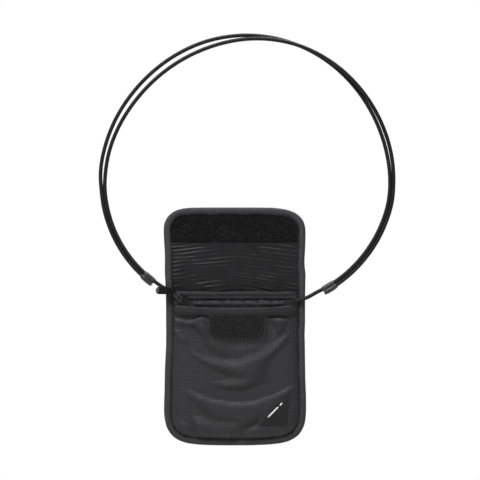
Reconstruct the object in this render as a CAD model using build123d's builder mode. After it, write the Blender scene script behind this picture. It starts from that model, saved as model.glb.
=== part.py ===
from build123d import *
import os
from math import atan, cos, degrees, radians, sin

# Neck pouch wallet: a flat fabric pouch with a fold-over top flap, a zipped
# front pocket and an open front pocket, hung from a braided neck cord whose
# length is set by two moulded twin-barrel adjusters.
#
# Frame: millimetres, +Z up (towards the neck). The front faces -Y, and +X is to
# the right as seen from the front; left and right below are meant that way.
# The origin is the centre of the back panel's rear face. "Depth" (_D) always
# means distance along -Y from that face.

os.makedirs("parts", exist_ok=True)

# ------------------------------------------------------------ driving sizes
HALF_W = 75.2            # half the pouch's width over the binding
BODY_BOTTOM = -90.4      # lowest point of the pouch
FOLD_Z = 90.5            # height of the fold line between pouch and flap
FOLD_GAP = 0.4           # slit left on each side of the fold line
BODY_TOP = FOLD_Z - FOLD_GAP
FLAP_BOTTOM = FOLD_Z + FOLD_GAP
FLAP_TOP = 163.7         # top of the flap when it stands open
BODY_R = 24.0            # bottom corner radius of the pouch
FLAP_R = 20.0            # top corner radius of the flap
MIN_CORNER_R = 2.0       # smallest corner radius of an inset outline

LAYER_GAP = 0.05         # gap between neighbouring layers
OVERCUT = 10.0           # how far a cutting outline runs past the fold end

BIND_W = 6.7             # width of the binding tape on each face
BIND_T = 0.6             # thickness of the binding tape
BODY_EDGE_T = 4.45       # pouch thickness over the bound edge
FLAP_EDGE_T = 3.5        # flap thickness over the bound edge
FLANGE_EDGE = BIND_T + LAYER_GAP  # inset of the layers held in the binding
CENTRE_EDGE = BIND_W + 0.1        # inset of a panel's middle, inside the binding
SEAM_EDGE = 5.2          # inset of the seam thread
SEAM_W = 0.4             # width of the seam thread
SEAM_T = 0.3             # thickness of the seam thread

CORD_D = 3.5             # braided cord diameter
CORD_DEPTH = 6.6         # depth of the plane the neck loop lies in


# ------------------------------------------------------------ shared helpers
def save(part, name):
    part.label = name
    export_step(part, f"parts/{name}.step")


def front(depth):
    """The plane at a depth in front of the rear face, facing the front."""
    return Plane.XZ.offset(depth)


def body_profile(edge, top):
    """The pouch's outline, moved in by edge, cut off square at a height."""
    with BuildSketch() as outline:
        with Locations((0, (top + BODY_BOTTOM + edge) / 2)):
            Rectangle(2 * (HALF_W - edge), top - BODY_BOTTOM - edge)
        fillet(outline.vertices().group_by(Axis.Y)[0], max(BODY_R - edge, MIN_CORNER_R))
    return outline.sketch


def flap_profile(edge, bottom):
    """The flap's outline, moved in by edge, cut off square at a height."""
    with BuildSketch() as outline:
        with Locations((0, (bottom + FLAP_TOP - edge) / 2)):
            Rectangle(2 * (HALF_W - edge), FLAP_TOP - edge - bottom)
        fillet(outline.vertices().group_by(Axis.Y)[-1], max(FLAP_R - edge, MIN_CORNER_R))
    return outline.sketch


def sheet(name, outline, depth, thickness):
    """A flat layer that starts at a depth and grows towards the front."""
    with BuildPart() as layer:
        with BuildSketch(front(depth)):
            add(outline)
        extrude(amount=thickness)
    save(layer.part, name)


def outer_panel(name, profile, fold_end, flange_t):
    """A flange held in the binding, with a middle flush with the rear face."""
    flange = profile(FLANGE_EDGE, fold_end)
    centre = profile(CENTRE_EDGE, fold_end)
    with BuildPart() as panel:
        with BuildSketch(front(FLANGE_EDGE)):
            add(flange)
        extrude(amount=flange_t)
        with BuildSketch(front(0)):
            add(centre)
        extrude(amount=FLANGE_EDGE + flange_t)
    save(panel.part, name)


def bound_edge(prefix, profile, fold_end, past_fold, edge_t):
    """Binding of U section, open at the fold, and the seam thread on its front."""
    full = profile(0, fold_end)
    web = profile(BIND_T, past_fold)
    window = profile(BIND_W, past_fold)
    with BuildPart() as binding:
        with BuildSketch(front(0)):
            add(full)
        extrude(amount=edge_t)
        with BuildSketch(front(BIND_T)):
            add(web)
        extrude(amount=edge_t - 2 * BIND_T, mode=Mode.SUBTRACT)
        with BuildSketch(front(-1)):
            add(window)
        extrude(amount=edge_t + 2, mode=Mode.SUBTRACT)
    save(binding.part, f"{prefix}_binding")

    seam_outer = profile(SEAM_EDGE, fold_end)
    seam_inner = profile(SEAM_EDGE + SEAM_W, past_fold)
    with BuildPart() as thread:
        with BuildSketch(front(edge_t + LAYER_GAP)):
            add(seam_outer)
            add(seam_inner, mode=Mode.SUBTRACT)
        extrude(amount=SEAM_T)
    save(thread.part, f"{prefix}_seam_thread")


# ------------------------------------------------------------ pouch: back
BACK_FLANGE_T = 0.7
BACK_LINING_D = 1.42
BACK_LINING_T = 0.5

outer_panel("back_panel", body_profile, BODY_TOP, BACK_FLANGE_T)
# The smooth sheet seen above the pocket mouths.
sheet("back_lining", body_profile(FLANGE_EDGE, BODY_TOP), BACK_LINING_D, BACK_LINING_T)

# ------------------------------------------------------------ pouch: pockets
# For each pocket panel: inset of its side walls' outer line at SIDE_REF_D,
# depths of its flange and front face, and height of its top edge.
WALL = 0.5               # thickness of a pocket panel
SLOPE = 0.4              # how fast a pocket's sides lean in, per mm of depth
TAPER = degrees(atan(SLOPE))
SIDE_REF_D = 2.0         # depth at which the side lines are given

DIVIDER_LINE, DIVIDER_FLANGE_D, DIVIDER_D = 8.9, 2.05, 7.1
DIVIDER_TOP = 74.6
ZIP_PANEL_LINE, ZIP_PANEL_FLANGE_D, ZIP_PANEL_D = 8.3, 2.65, 9.1
ZIP_PANEL_TOP = 60.2
FRONT_LINE, FRONT_FLANGE_D, FRONT_D = 7.7, 3.25, 10.7
FRONT_TOP = 59.6

MOUTH_HEM_BOTTOM = 70.0
MOUTH_HEM_H = 4.2
MOUTH_HEM_T = 0.6
FRONT_HEM_W = 126.0
FRONT_HEM_H = 8.4
FRONT_HEM_T = 0.6
FRONT_HEM_EDGE_R = 0.25
ON_FRONT_D = FRONT_D + LAYER_GAP  # depth of what is fixed on the open pocket


def inset(line, depth):
    """How far in from the pouch's outline a pocket's side wall stands."""
    return line + SLOPE * (depth - SIDE_REF_D)


def pocket_block(line, rear_d, front_d, top):
    """A pillow-sided block that a pocket panel is shelled from."""
    outline = body_profile(inset(line, rear_d), top + 40)
    with BuildPart() as block:
        with BuildSketch(front(rear_d)):
            add(outline)
        extrude(amount=front_d - rear_d, taper=TAPER)
        split(bisect_by=Plane.XY.offset(top), keep=Keep.BOTTOM)
    return block.part


def pocket_panel(name, line, flange_d, face_d, top):
    """A pocket front: sewn-in flange, leaning sides, flat face, open top."""
    flange = body_profile(FLANGE_EDGE, top)
    outer = pocket_block(line, flange_d, face_d, top)
    inner = pocket_block(line + WALL, flange_d - 1.0, face_d - WALL, top + 5)
    with BuildPart() as panel:
        with BuildSketch(front(flange_d)):
            add(flange)
        extrude(amount=WALL)
        add(outer)
        add(inner, mode=Mode.SUBTRACT)
    save(panel.part, name)


def mouth_hem_section():
    """Plan section (x, y) of the mouth hem, which runs from edge to edge."""
    flange_front_d = ZIP_PANEL_FLANGE_D + MOUTH_HEM_T
    face_rear_d = ZIP_PANEL_D - MOUTH_HEM_T
    inner_line = ZIP_PANEL_LINE + WALL
    end_x = HALF_W - FLANGE_EDGE
    right = [
        (HALF_W - inset(inner_line, face_rear_d), -face_rear_d),
        (HALF_W - inset(inner_line, ZIP_PANEL_FLANGE_D), -ZIP_PANEL_FLANGE_D),
        (end_x, -ZIP_PANEL_FLANGE_D),
        (end_x, -flange_front_d),
        (HALF_W - inset(ZIP_PANEL_LINE, flange_front_d), -flange_front_d),
        (HALF_W - inset(ZIP_PANEL_LINE, ZIP_PANEL_D), -ZIP_PANEL_D),
    ]
    return right + [(-x, y) for x, y in reversed(right)]


# Front wall of the passport pocket, open at its top edge.
pocket_panel("pocket_divider", DIVIDER_LINE, DIVIDER_FLANGE_D, DIVIDER_D, DIVIDER_TOP)
# Front of the zipped pocket, its top edge sewn to the lower zip tape.
pocket_panel(
    "zip_pocket_front", ZIP_PANEL_LINE, ZIP_PANEL_FLANGE_D, ZIP_PANEL_D, ZIP_PANEL_TOP
)
# Open front pocket.
pocket_panel("front_pocket_panel", FRONT_LINE, FRONT_FLANGE_D, FRONT_D, FRONT_TOP)

# Hem of the passport pocket's mouth, over the upper zip tape.
with BuildPart() as mouth_hem:
    with BuildSketch(Plane.XY.offset(MOUTH_HEM_BOTTOM)):
        with BuildLine():
            Polyline(*mouth_hem_section(), close=True)
        make_face()
    extrude(amount=MOUTH_HEM_H)
save(mouth_hem.part, "mouth_hem")

# Hem along the mouth of the open pocket, its long front edges rounded.
with BuildPart() as front_pocket_hem:
    with BuildSketch(front(ON_FRONT_D)):
        with Locations((0, FRONT_TOP - FRONT_HEM_H / 2)):
            Rectangle(FRONT_HEM_W, FRONT_HEM_H)
    extrude(amount=FRONT_HEM_T)
    fillet(
        front_pocket_hem.edges().filter_by(Axis.X).group_by(Axis.Y)[0], FRONT_HEM_EDGE_R
    )
save(front_pocket_hem.part, "front_pocket_hem")

# ------------------------------------------------------------ pouch: zip
ZIP_Z = 65.9             # centre line of the zip
ZIP_GAP = 1.4            # gap between the two coils of the open zip
TAPE_HALF = 63.4         # half the length of the zip tapes
TAPE_TOP = 73.6          # outer edge of the upper tape
TAPE_BOTTOM = 57.6       # outer edge of the lower tape
TAPE_D = 8.0
TAPE_T = 0.4

COIL_D = TAPE_D + TAPE_T + LAYER_GAP
COIL_T = 0.9
COIL_H = 1.4             # height of one coil, with its teeth
COIL_X0, COIL_X1 = -60.6, 60.1
COIL_MID_X = (COIL_X0 + COIL_X1) / 2
COIL_SPINE_H = 0.6       # solid strip that joins a coil's teeth
TOOTH_PITCH = 1.5
TOOTH_COUNT = 80
TOOTH_W = 0.8
TOOTH_H = 1.3

STOP_T = 1.0
CLOSED_STOP_X, CLOSED_STOP_W, CLOSED_STOP_R = 61.3, 1.8, 0.5
OPEN_STOP_X, OPEN_STOP_W, OPEN_STOP_R = -61.6, 1.4, 0.4


def zip_side(name, side, tape_edge):
    """Woven tape and its toothed coil; side is 1 above the zip, -1 below."""
    inner_edge = ZIP_Z + side * ZIP_GAP / 2
    with BuildPart() as tape:
        with BuildSketch(front(TAPE_D)):
            with Locations((0, (inner_edge + tape_edge) / 2)):
                Rectangle(2 * TAPE_HALF, abs(tape_edge - inner_edge))
        extrude(amount=TAPE_T)
    save(tape.part, f"zip_tape_{name}")

    with BuildPart() as coil:
        with BuildSketch(front(COIL_D)):
            with Locations((COIL_MID_X, inner_edge + side * (COIL_H - COIL_SPINE_H / 2))):
                Rectangle(COIL_X1 - COIL_X0, COIL_SPINE_H)
            with Locations((COIL_MID_X, inner_edge + side * TOOTH_H / 2)):
                with GridLocations(TOOTH_PITCH, 1, TOOTH_COUNT, 1):
                    Rectangle(TOOTH_W, TOOTH_H)
        extrude(amount=COIL_T)
    save(coil.part, f"zip_coil_{name}")


zip_side("upper", 1, TAPE_TOP)
zip_side("lower", -1, TAPE_BOTTOM)

# One stop closes the chain at the right, and one sits on each coil at the left.
coil_offset = (ZIP_GAP + COIL_H) / 2
with BuildPart() as zip_end_stops:
    with BuildSketch(front(COIL_D)):
        with Locations((CLOSED_STOP_X, ZIP_Z)):
            RectangleRounded(CLOSED_STOP_W, ZIP_GAP + 2 * COIL_H, CLOSED_STOP_R)
        with Locations((OPEN_STOP_X, ZIP_Z + coil_offset), (OPEN_STOP_X, ZIP_Z - coil_offset)):
            RectangleRounded(OPEN_STOP_W, COIL_H, OPEN_STOP_R)
    extrude(amount=STOP_T)
save(zip_end_stops.part, "zip_end_stops")

# ------------------------------------------------------------ pouch: front
HOOK_CENTRE = (1.5, 37.7)  # (x, z)
HOOK_W, HOOK_H, HOOK_T = 57.0, 26.2, 1.0
HOOK_R = 9.5
LABEL_CORNERS = [(56.4, -36.2), (56.4, -68.2), (24.5, -68.2)]  # (x, z)
LABEL_R = 1.5
LABEL_T = 0.35

# Hook half of the touch fastener, square at the top, rounded at the bottom.
with BuildPart() as hook_patch:
    with BuildSketch(front(ON_FRONT_D)) as patch_sketch:
        with Locations(HOOK_CENTRE):
            Rectangle(HOOK_W, HOOK_H)
        fillet(patch_sketch.vertices().group_by(Axis.Y)[0], HOOK_R)
    extrude(amount=HOOK_T)
save(hook_patch.part, "hook_patch")

# Smooth triangular label in the lower right corner.
with BuildPart() as corner_label:
    with BuildSketch(front(ON_FRONT_D)) as label_sketch:
        with BuildLine():
            Polyline(*LABEL_CORNERS, close=True)
        make_face()
        fillet(label_sketch.vertices(), LABEL_R)
    extrude(amount=LABEL_T)
save(corner_label.part, "corner_label")

bound_edge("body", body_profile, BODY_TOP, BODY_TOP + OVERCUT, BODY_EDGE_T)

# ------------------------------------------------------------ flap
FLAP_FLANGE_T = 0.6
FLAP_LINING_D = FLANGE_EDGE + FLAP_FLANGE_T + LAYER_GAP
FLAP_LINING_T = 0.8
LOOP_EDGE = 8.0          # inset of the loop field from the flap's outline
LOOP_BOTTOM = 126.3
LOOP_D = FLAP_LINING_D + FLAP_LINING_T + LAYER_GAP
LOOP_T = 1.25

outer_panel("flap_outer", flap_profile, FLAP_BOTTOM, FLAP_FLANGE_T)
sheet("flap_lining", flap_profile(FLANGE_EDGE, FLAP_BOTTOM), FLAP_LINING_D, FLAP_LINING_T)
# Loop half of the touch fastener, across the flap's inner face.
sheet("loop_field", flap_profile(LOOP_EDGE, LOOP_BOTTOM), LOOP_D, LOOP_T)
bound_edge("flap", flap_profile, FLAP_BOTTOM, FLAP_BOTTOM - OVERCUT, FLAP_EDGE_T)

# ------------------------------------------------------------ zip slider
SLIDER_X = -54.5         # centre of the slider at rest
SLIDER_L = 11.0
SLIDER_H = 7.8
SLIDER_SIDE_ANGLE = 86   # base angle of the tapered front plate
PLATE_T = 0.6
PLATE_R = 1.6
FRONT_PLATE_D = 9.6
REAR_PLATE_D = 7.2
REAR_PLATE_L = SLIDER_L - 0.6
REAR_PLATE_H = SLIDER_H - 1.0
WEDGE_X = SLIDER_X - 2.6
WEDGE_L, WEDGE_H = 3.4, 0.9
WEDGE_D = REAR_PLATE_D + PLATE_T
LIP_L, LIP_H = SLIDER_L - 4.2, 0.6
LIP_OFFSET = SLIDER_H / 2 - 0.55
LIP_D = 8.65
LIP_DEPTH = 1.0          # reaches a little way into the front plate
PIVOT_X = -57.0          # axis of the pull in the slider's lug
PIVOT_D = 10.9
LUG_R = 1.1
LUG_HOLE_R = 0.55
LUG_W = 1.8              # along Z
LUG_ROOT_D = 10.0        # just inside the front plate

# Front and rear plates joined by a wedge that runs between the coils, side
# lips round the coils, and a pierced lug for the pull.
with BuildPart() as zip_slider_body:
    with BuildSketch(front(FRONT_PLATE_D)) as plate_sketch:
        with Locations((SLIDER_X, ZIP_Z)):
            Trapezoid(SLIDER_H, SLIDER_L, SLIDER_SIDE_ANGLE, rotation=-90)
        fillet(plate_sketch.vertices(), PLATE_R)
    extrude(amount=PLATE_T)
    with BuildSketch(front(REAR_PLATE_D)) as rear_sketch:
        with Locations((SLIDER_X, ZIP_Z)):
            Rectangle(REAR_PLATE_L, REAR_PLATE_H)
        fillet(rear_sketch.vertices(), PLATE_R)
    extrude(amount=PLATE_T)
    with BuildSketch(front(WEDGE_D)):
        with Locations((WEDGE_X, ZIP_Z)):
            SlotOverall(WEDGE_L, WEDGE_H)
    extrude(amount=FRONT_PLATE_D - WEDGE_D)
    with BuildSketch(front(LIP_D)):
        with Locations((SLIDER_X, ZIP_Z + LIP_OFFSET), (SLIDER_X, ZIP_Z - LIP_OFFSET)):
            Rectangle(LIP_L, LIP_H)
    extrude(amount=LIP_DEPTH)
    with BuildSketch(Plane.XY.offset(ZIP_Z - LUG_W / 2)):
        with Locations((PIVOT_X, -PIVOT_D)):
            Circle(LUG_R)
        with Locations((PIVOT_X, -(PIVOT_D + LUG_ROOT_D) / 2)):
            Rectangle(2 * LUG_R, PIVOT_D - LUG_ROOT_D)
    extrude(amount=LUG_W)
    with BuildSketch(Plane.XY.offset(ZIP_Z - 2)):
        with Locations((PIVOT_X, -PIVOT_D)):
            Circle(LUG_HOLE_R)
    extrude(amount=4, mode=Mode.SUBTRACT)
save(zip_slider_body.part, "zip_slider_body")

# ------------------------------------------------------------ zip pull
LINK_WIRE_R = 0.45
LINK_PIN_L = 4.4
# Outline of the bent wire, (x, z) from the pivot: outer side, then inner side.
LINK_OUTLINE = [
    (0.45, 1.3), (0.45, 2.5), (-3.6, 6.6), (-6.6, 3.6), (-2.2, -2.5),
    (0.45, -2.5), (0.45, -1.3), (-0.45, -1.3), (-0.45, -1.65), (-1.7, -1.65),
    (-5.4, 3.55), (-3.55, 5.35), (-0.45, 2.15), (-0.45, 1.3),
]
PULL_CORD_R = 0.4
PULL_CORD_BEND = 0.95    # bend radius round the link
PULL_CORD_L = 3.6        # length of each straight leg
PULL_CORD_OFFSET = 4.8   # bend's centre, left of and above the pivot
TAB_OUTLINE = [  # (x, z)
    (-84.1, 79.3), (-84.1, 71.4), (-72.0, 71.3), (-65.6, 72.2), (-62.6, 74.6),
    (-65.0, 77.6), (-72.0, 79.2),
]
TAB_D = 9.9
TAB_T = 2.0
TAB_CORNER_R = 3.4
TAB_EDGE_R = 0.6

# A pin through the lug and a bent wire that joins the pin's two ends.
with BuildPart() as pull_link:
    with BuildSketch(Plane.XY.offset(ZIP_Z - LINK_PIN_L / 2)):
        with Locations((PIVOT_X, -PIVOT_D)):
            Circle(LINK_WIRE_R)
    extrude(amount=LINK_PIN_L)
    link_plane = Plane(
        origin=(PIVOT_X, -PIVOT_D + LINK_WIRE_R, ZIP_Z), x_dir=(1, 0, 0), z_dir=(0, -1, 0)
    )
    with BuildSketch(link_plane):
        with BuildLine():
            Polyline(*LINK_OUTLINE, close=True)
        make_face()
    extrude(amount=2 * LINK_WIRE_R)
save(pull_link.part, "pull_link")

# Short cord looped through the link, its two ends moulded into the grip.
# Its plane's x runs up and to the left, along the legs.
pull_cord_plane = Plane(
    origin=(PIVOT_X - PULL_CORD_OFFSET, -PIVOT_D, ZIP_Z + PULL_CORD_OFFSET),
    x_dir=(-0.66, 0, 0.7513),
    z_dir=(0.7513, 0, 0.66),
)
with BuildPart() as pull_cord:
    with BuildLine(pull_cord_plane) as pull_path:
        Polyline((PULL_CORD_L, PULL_CORD_BEND), (0, PULL_CORD_BEND))
        ThreePointArc((0, PULL_CORD_BEND), (-PULL_CORD_BEND, 0), (0, -PULL_CORD_BEND))
        Polyline((0, -PULL_CORD_BEND), (PULL_CORD_L, -PULL_CORD_BEND))
    with BuildSketch(Plane(origin=pull_path.line @ 0, z_dir=pull_path.line % 0)):
        Circle(PULL_CORD_R)
    sweep(path=pull_path.line)
save(pull_cord.part, "pull_cord")

# Moulded grip.
with BuildPart() as pull_tab:
    with BuildSketch(front(TAB_D)) as tab_sketch:
        with BuildLine():
            Polyline(*TAB_OUTLINE, close=True)
        make_face()
        fillet(tab_sketch.vertices().group_by(Axis.X)[0], TAB_CORNER_R)
    extrude(amount=TAB_T)
    fillet(pull_tab.edges().group_by(Axis.Y)[0], TAB_EDGE_R)
    fillet(pull_tab.edges().group_by(Axis.Y)[-1], TAB_EDGE_R)
save(pull_tab.part, "pull_tab")

# ------------------------------------------------------------ neck cord
# Two braided cords. Each starts at one side of the pouch, runs through the
# inner barrel of the adjuster on that side, round the loop, and ends in the
# outer barrel of the adjuster on the other side. They cross at the upper
# right, where cord A steps to the front and cord B to the rear.
# On each side the strands follow two arcs round one centre (x, z).
LEFT_CENTRE = (-5.88, 191.2)
LEFT_R_IN, LEFT_R_OUT = 132.88, 136.98
RIGHT_CENTRE = (27.36, 198.91)
RIGHT_R_IN, RIGHT_R_OUT = 139.06, 143.1
RIGHT_ANCHOR = (77.0, 67.8)  # (x, z) where cord B starts, at the pouch's edge

# Angles in degrees of the points on each arc, from +X towards +Z. The first
# angle of LEFT_IN_ANGLES is where cord A starts, at the pouch's edge.
LEFT_IN_ANGLES = (237.75, 231, 224, 217, 210, 203, 196, 189, 183)
LEFT_OUT_ANGLES = (231.6, 225, 218, 211, 204, 197, 190, 184)
RIGHT_IN_ANGLES = (-14, -21, -28, -35, -42, -49, -56, -61.5, -64.5)
RIGHT_OUT_ANGLES = (-13, -20, -27, -34, -41, -48, -55, -60.4)

# (x, z) points between the left and right arcs, from left to right.
CORD_A_TOP = [
    (-138.31, 195.84), (-132.96, 226.44), (-120.92, 254.81), (-103.82, 280.07),
    (-82.75, 301.95), (-58.05, 319.85), (-30.21, 333.14), (0.13, 341.11),
    (32.02, 342.72), (63.92, 336.99), (93.83, 323.76), (120.05, 303.92),
    (141.5, 278.89), (157.36, 249.91), (166.7, 218.15), (168.64, 185.12),
]
CORD_B_TOP = [
    (-143.19, 196.01), (-138.48, 227.82), (-126.93, 257.74), (-109.67, 284.64),
    (-87.71, 307.85), (-61.66, 326.63), (-32.14, 339.87), (-0.25, 346.47),
    (32.46, 345.79), (64.21, 337.78), (93.32, 322.94), (118.42, 302.24),
    (138.53, 276.89), (153.19, 248.23), (162.28, 217.37), (164.89, 185.25),
]
TOP_START_A = 178.0      # angle of the first of those points round the loop
TOP_STEP_A = 12.0        # angle between them
CROSS_STEP = 1.85        # how far each strand steps aside where they cross
CROSS_START_A, CROSS_RISE_A = 110, 24  # the step starts here, over this angle
CROSS_END_A, CROSS_FALL_A = 16, 26     # and has died away here, over this one
CORD_SECTIONS = 60       # spans between the round sections a cord is lofted through


def on_arc(centre, radius, angle):
    turn = radians(angle)
    return (centre[0] + radius * cos(turn), -CORD_DEPTH, centre[1] + radius * sin(turn))


def arc_points(centre, radius, angles):
    return [on_arc(centre, radius, angle) for angle in angles]


def smooth(t):
    """Ease from 0 to 1 as t goes from 0 to 1."""
    t = min(max(t, 0.0), 1.0)
    return t * t * (3 - 2 * t)


def top_points(points, side):
    """Points of the loop's top, moved aside in y: side is -1 front, 1 rear."""
    placed = []
    for i, (x, z) in enumerate(points):
        angle = TOP_START_A - TOP_STEP_A * i
        rise = smooth((CROSS_START_A - angle) / CROSS_RISE_A)
        fall = smooth((angle - CROSS_END_A) / CROSS_FALL_A)
        placed.append((x, -CORD_DEPTH + side * CROSS_STEP * rise * fall, z))
    return placed


def sections(path):
    """Planes along a path, upright so that the skin doesn't twist."""
    planes = []
    forward = Vector(0, -1, 0)
    for i in range(CORD_SECTIONS + 1):
        t = i / CORD_SECTIONS
        along = (path % t).normalized()
        upright = forward - along * forward.dot(along)
        planes.append(Plane(origin=path @ t, x_dir=upright, z_dir=along))
    return planes


def cord(name, points):
    with BuildLine() as path:
        Spline(*points)
    with BuildPart() as strand:
        for section in sections(path.line):
            with BuildSketch(section):
                Circle(CORD_D / 2)
        loft()
    save(strand.part, name)


def cord_end(name, start, end):
    """Sewn end of a cord, over the binding, between two (x, z) points."""
    with BuildPart() as stub:
        with BuildLine() as path:
            Line((start[0], -CORD_DEPTH, start[1]), (end[0], -CORD_DEPTH, end[1]))
        with BuildSketch(Plane(origin=path.line @ 0, z_dir=path.line % 0)):
            Circle(CORD_D / 2)
        sweep(path=path.line)
    save(stub.part, name)


cord(
    "cord_a",
    arc_points(LEFT_CENTRE, LEFT_R_IN, LEFT_IN_ANGLES)
    + top_points(CORD_A_TOP, -1)
    + arc_points(RIGHT_CENTRE, RIGHT_R_OUT, RIGHT_OUT_ANGLES),
)
cord(
    "cord_b",
    [(RIGHT_ANCHOR[0], -CORD_DEPTH, RIGHT_ANCHOR[1])]
    + arc_points(RIGHT_CENTRE, RIGHT_R_IN, reversed(RIGHT_IN_ANGLES))
    + top_points(CORD_B_TOP, 1)[::-1]
    + arc_points(LEFT_CENTRE, LEFT_R_OUT, reversed(LEFT_OUT_ANGLES)),
)
cord_end("cord_end_left", (-75.3, 77.9), (-69.0, 75.3))
cord_end("cord_end_right", (75.4, 67.1), (69.6, 65.2))

# ------------------------------------------------------------ adjusters
LEFT_ADJ_A = 230.0       # angle of the left adjuster's middle, in degrees
RIGHT_ADJ_A = -58.8      # angle of the right adjuster's middle
ADJ_HALF_A = 3.1         # half the adjuster's length, as an angle
ADJ_BARREL_R = 2.62      # outer radius of each barrel
BORE_R = CORD_D / 2 + 0.1
END_LEAN = 0.18          # slant of the ends, in radians
END_TRIM = 0.9           # how far an end cut reaches in at mid-width
CUT_W, CUT_L, CUT_DEPTH = 30, 12.0, 16  # size of the block that cuts an end


def adjuster(name, centre, r_in, r_out, middle, lean):
    """Twin barrels side by side, curved to the strands, with slanted ends.

    A positive lean puts the outer barrel's ends at larger angles than the
    inner barrel's.
    """
    r_mid = (r_in + r_out) / 2
    half_pitch = (r_out - r_in) / 2
    start_a, end_a = middle - ADJ_HALF_A, middle + ADJ_HALF_A
    turn = radians(start_a)
    start = Plane(
        origin=on_arc(centre, r_mid, start_a),
        x_dir=(cos(turn), 0, sin(turn)),
        z_dir=(-sin(turn), 0, cos(turn)),
    )
    axis = Axis((centre[0], -CORD_DEPTH, centre[1]), (0, -1, 0))
    with BuildPart() as body:
        with BuildSketch(start):
            SlotCenterToCenter(2 * half_pitch, 2 * ADJ_BARREL_R)
        revolve(axis=axis, revolution_arc=end_a - start_a)
        for cut_a, outward in ((start_a, -1), (end_a, 1)):
            slant = radians(cut_a) + lean
            cut = Plane(
                origin=on_arc(centre, r_mid, cut_a),
                x_dir=(cos(slant), 0, sin(slant)),
                z_dir=(0, -1, 0),
            )
            with BuildSketch(cut.offset(-CUT_DEPTH / 2)):
                with Locations((0, outward * (CUT_L / 2 - END_TRIM))):
                    Rectangle(CUT_W, CUT_L)
            extrude(amount=CUT_DEPTH, mode=Mode.SUBTRACT)
        with BuildSketch(start) as bores:
            with Locations((-half_pitch, 0), (half_pitch, 0)):
                Circle(BORE_R)
        revolve(
            bores.sketch, axis=axis, revolution_arc=end_a - start_a, mode=Mode.SUBTRACT
        )
    save(body.part, name)


adjuster("left_adjuster", LEFT_CENTRE, LEFT_R_IN, LEFT_R_OUT, LEFT_ADJ_A, END_LEAN)
adjuster("right_adjuster", RIGHT_CENTRE, RIGHT_R_IN, RIGHT_R_OUT, RIGHT_ADJ_A, -END_LEAN)
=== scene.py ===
# A flat zipped pouch on two neck cords, shown standing with its flap turned up.
# Lengths are millimetres until a mesh is made: x runs to the right, z up, and depth
# comes forward from the back cloth (world -Y). The pouch lies below the fold at
# z = 90.5, the flap above it, and the cords loop over the top.
import math

import bmesh
import bpy
import mathutils
import numpy as np
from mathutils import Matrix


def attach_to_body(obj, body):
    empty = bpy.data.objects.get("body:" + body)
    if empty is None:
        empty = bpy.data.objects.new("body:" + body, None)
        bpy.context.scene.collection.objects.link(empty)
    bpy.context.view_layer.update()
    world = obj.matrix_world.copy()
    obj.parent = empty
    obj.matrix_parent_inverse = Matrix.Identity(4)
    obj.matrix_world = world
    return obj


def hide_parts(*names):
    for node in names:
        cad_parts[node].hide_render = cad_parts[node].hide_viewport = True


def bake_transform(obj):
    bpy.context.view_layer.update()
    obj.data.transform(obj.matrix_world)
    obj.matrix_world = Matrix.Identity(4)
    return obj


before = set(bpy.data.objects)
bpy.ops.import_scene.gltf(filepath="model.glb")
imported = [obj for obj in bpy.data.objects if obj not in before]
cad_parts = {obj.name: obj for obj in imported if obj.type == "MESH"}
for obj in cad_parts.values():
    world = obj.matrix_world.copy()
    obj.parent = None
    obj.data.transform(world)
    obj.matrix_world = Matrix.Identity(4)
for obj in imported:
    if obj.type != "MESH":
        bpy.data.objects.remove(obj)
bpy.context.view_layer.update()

MM = 0.001
rng = np.random.default_rng(7)

FOLD_Z = 90.5                     # the flap turns about this height
RIPSTOP = 0.00243                 # pitch of the ripstop grid, metres


# ---------------------------------------------------------------- attaching to the frame
def attach(piece, slot, body, *replaced):
    """Make a piece move with one body, in place of the CAD nodes named."""
    if replaced:
        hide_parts(*replaced)
    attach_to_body(piece, body)


def attach_over_fold(piece, slot, *replaced):
    """Bake a piece into place, tied to no body, in place of the CAD nodes named."""
    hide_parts(*replaced)
    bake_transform(piece)


# ---------------------------------------------------------------- meshes
def make(name, verts, faces, material, smooth=True, uvs=None, recalculate=False):
    """A mesh object from millimetre points (x, depth, z)."""
    points = np.asarray(verts, float).reshape(-1, 3)
    points = np.stack([points[:, 0], -points[:, 1], points[:, 2]], 1) * MM
    mesh = bpy.data.meshes.new(name)
    mesh.from_pydata(points.tolist(), [], [tuple(int(i) for i in f) for f in faces])
    if uvs is not None:
        layer = mesh.uv_layers.new(name="UVMap")
        corner = np.empty(len(mesh.loops), np.int32)
        mesh.loops.foreach_get("vertex_index", corner)
        layer.data.foreach_set("uv", np.asarray(uvs, float)[corner].ravel())
    mesh.validate()
    mesh.update()
    if smooth:
        mesh.polygons.foreach_set("use_smooth", [True] * len(mesh.polygons))
    ob = bpy.data.objects.new(name, mesh)
    bpy.context.scene.collection.objects.link(ob)
    mesh.materials.append(material)
    if recalculate:
        bm = bmesh.new()
        bm.from_mesh(mesh)
        bmesh.ops.recalc_face_normals(bm, faces=bm.faces)
        bm.to_mesh(mesh)
        bm.free()
    return ob


def grid_faces(rows, cols, flip=False, wrap=False, base=0):
    """Quads over a grid of points, optionally closed along each row."""
    faces = []
    for j in range(rows - 1):
        for i in range(cols if wrap else cols - 1):
            a = base + j * cols + i
            b = base + j * cols + (i + 1) % cols
            c = b + cols
            d = a + cols
            faces.append((a, d, c, b) if flip else (a, b, c, d))
    return faces


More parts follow.
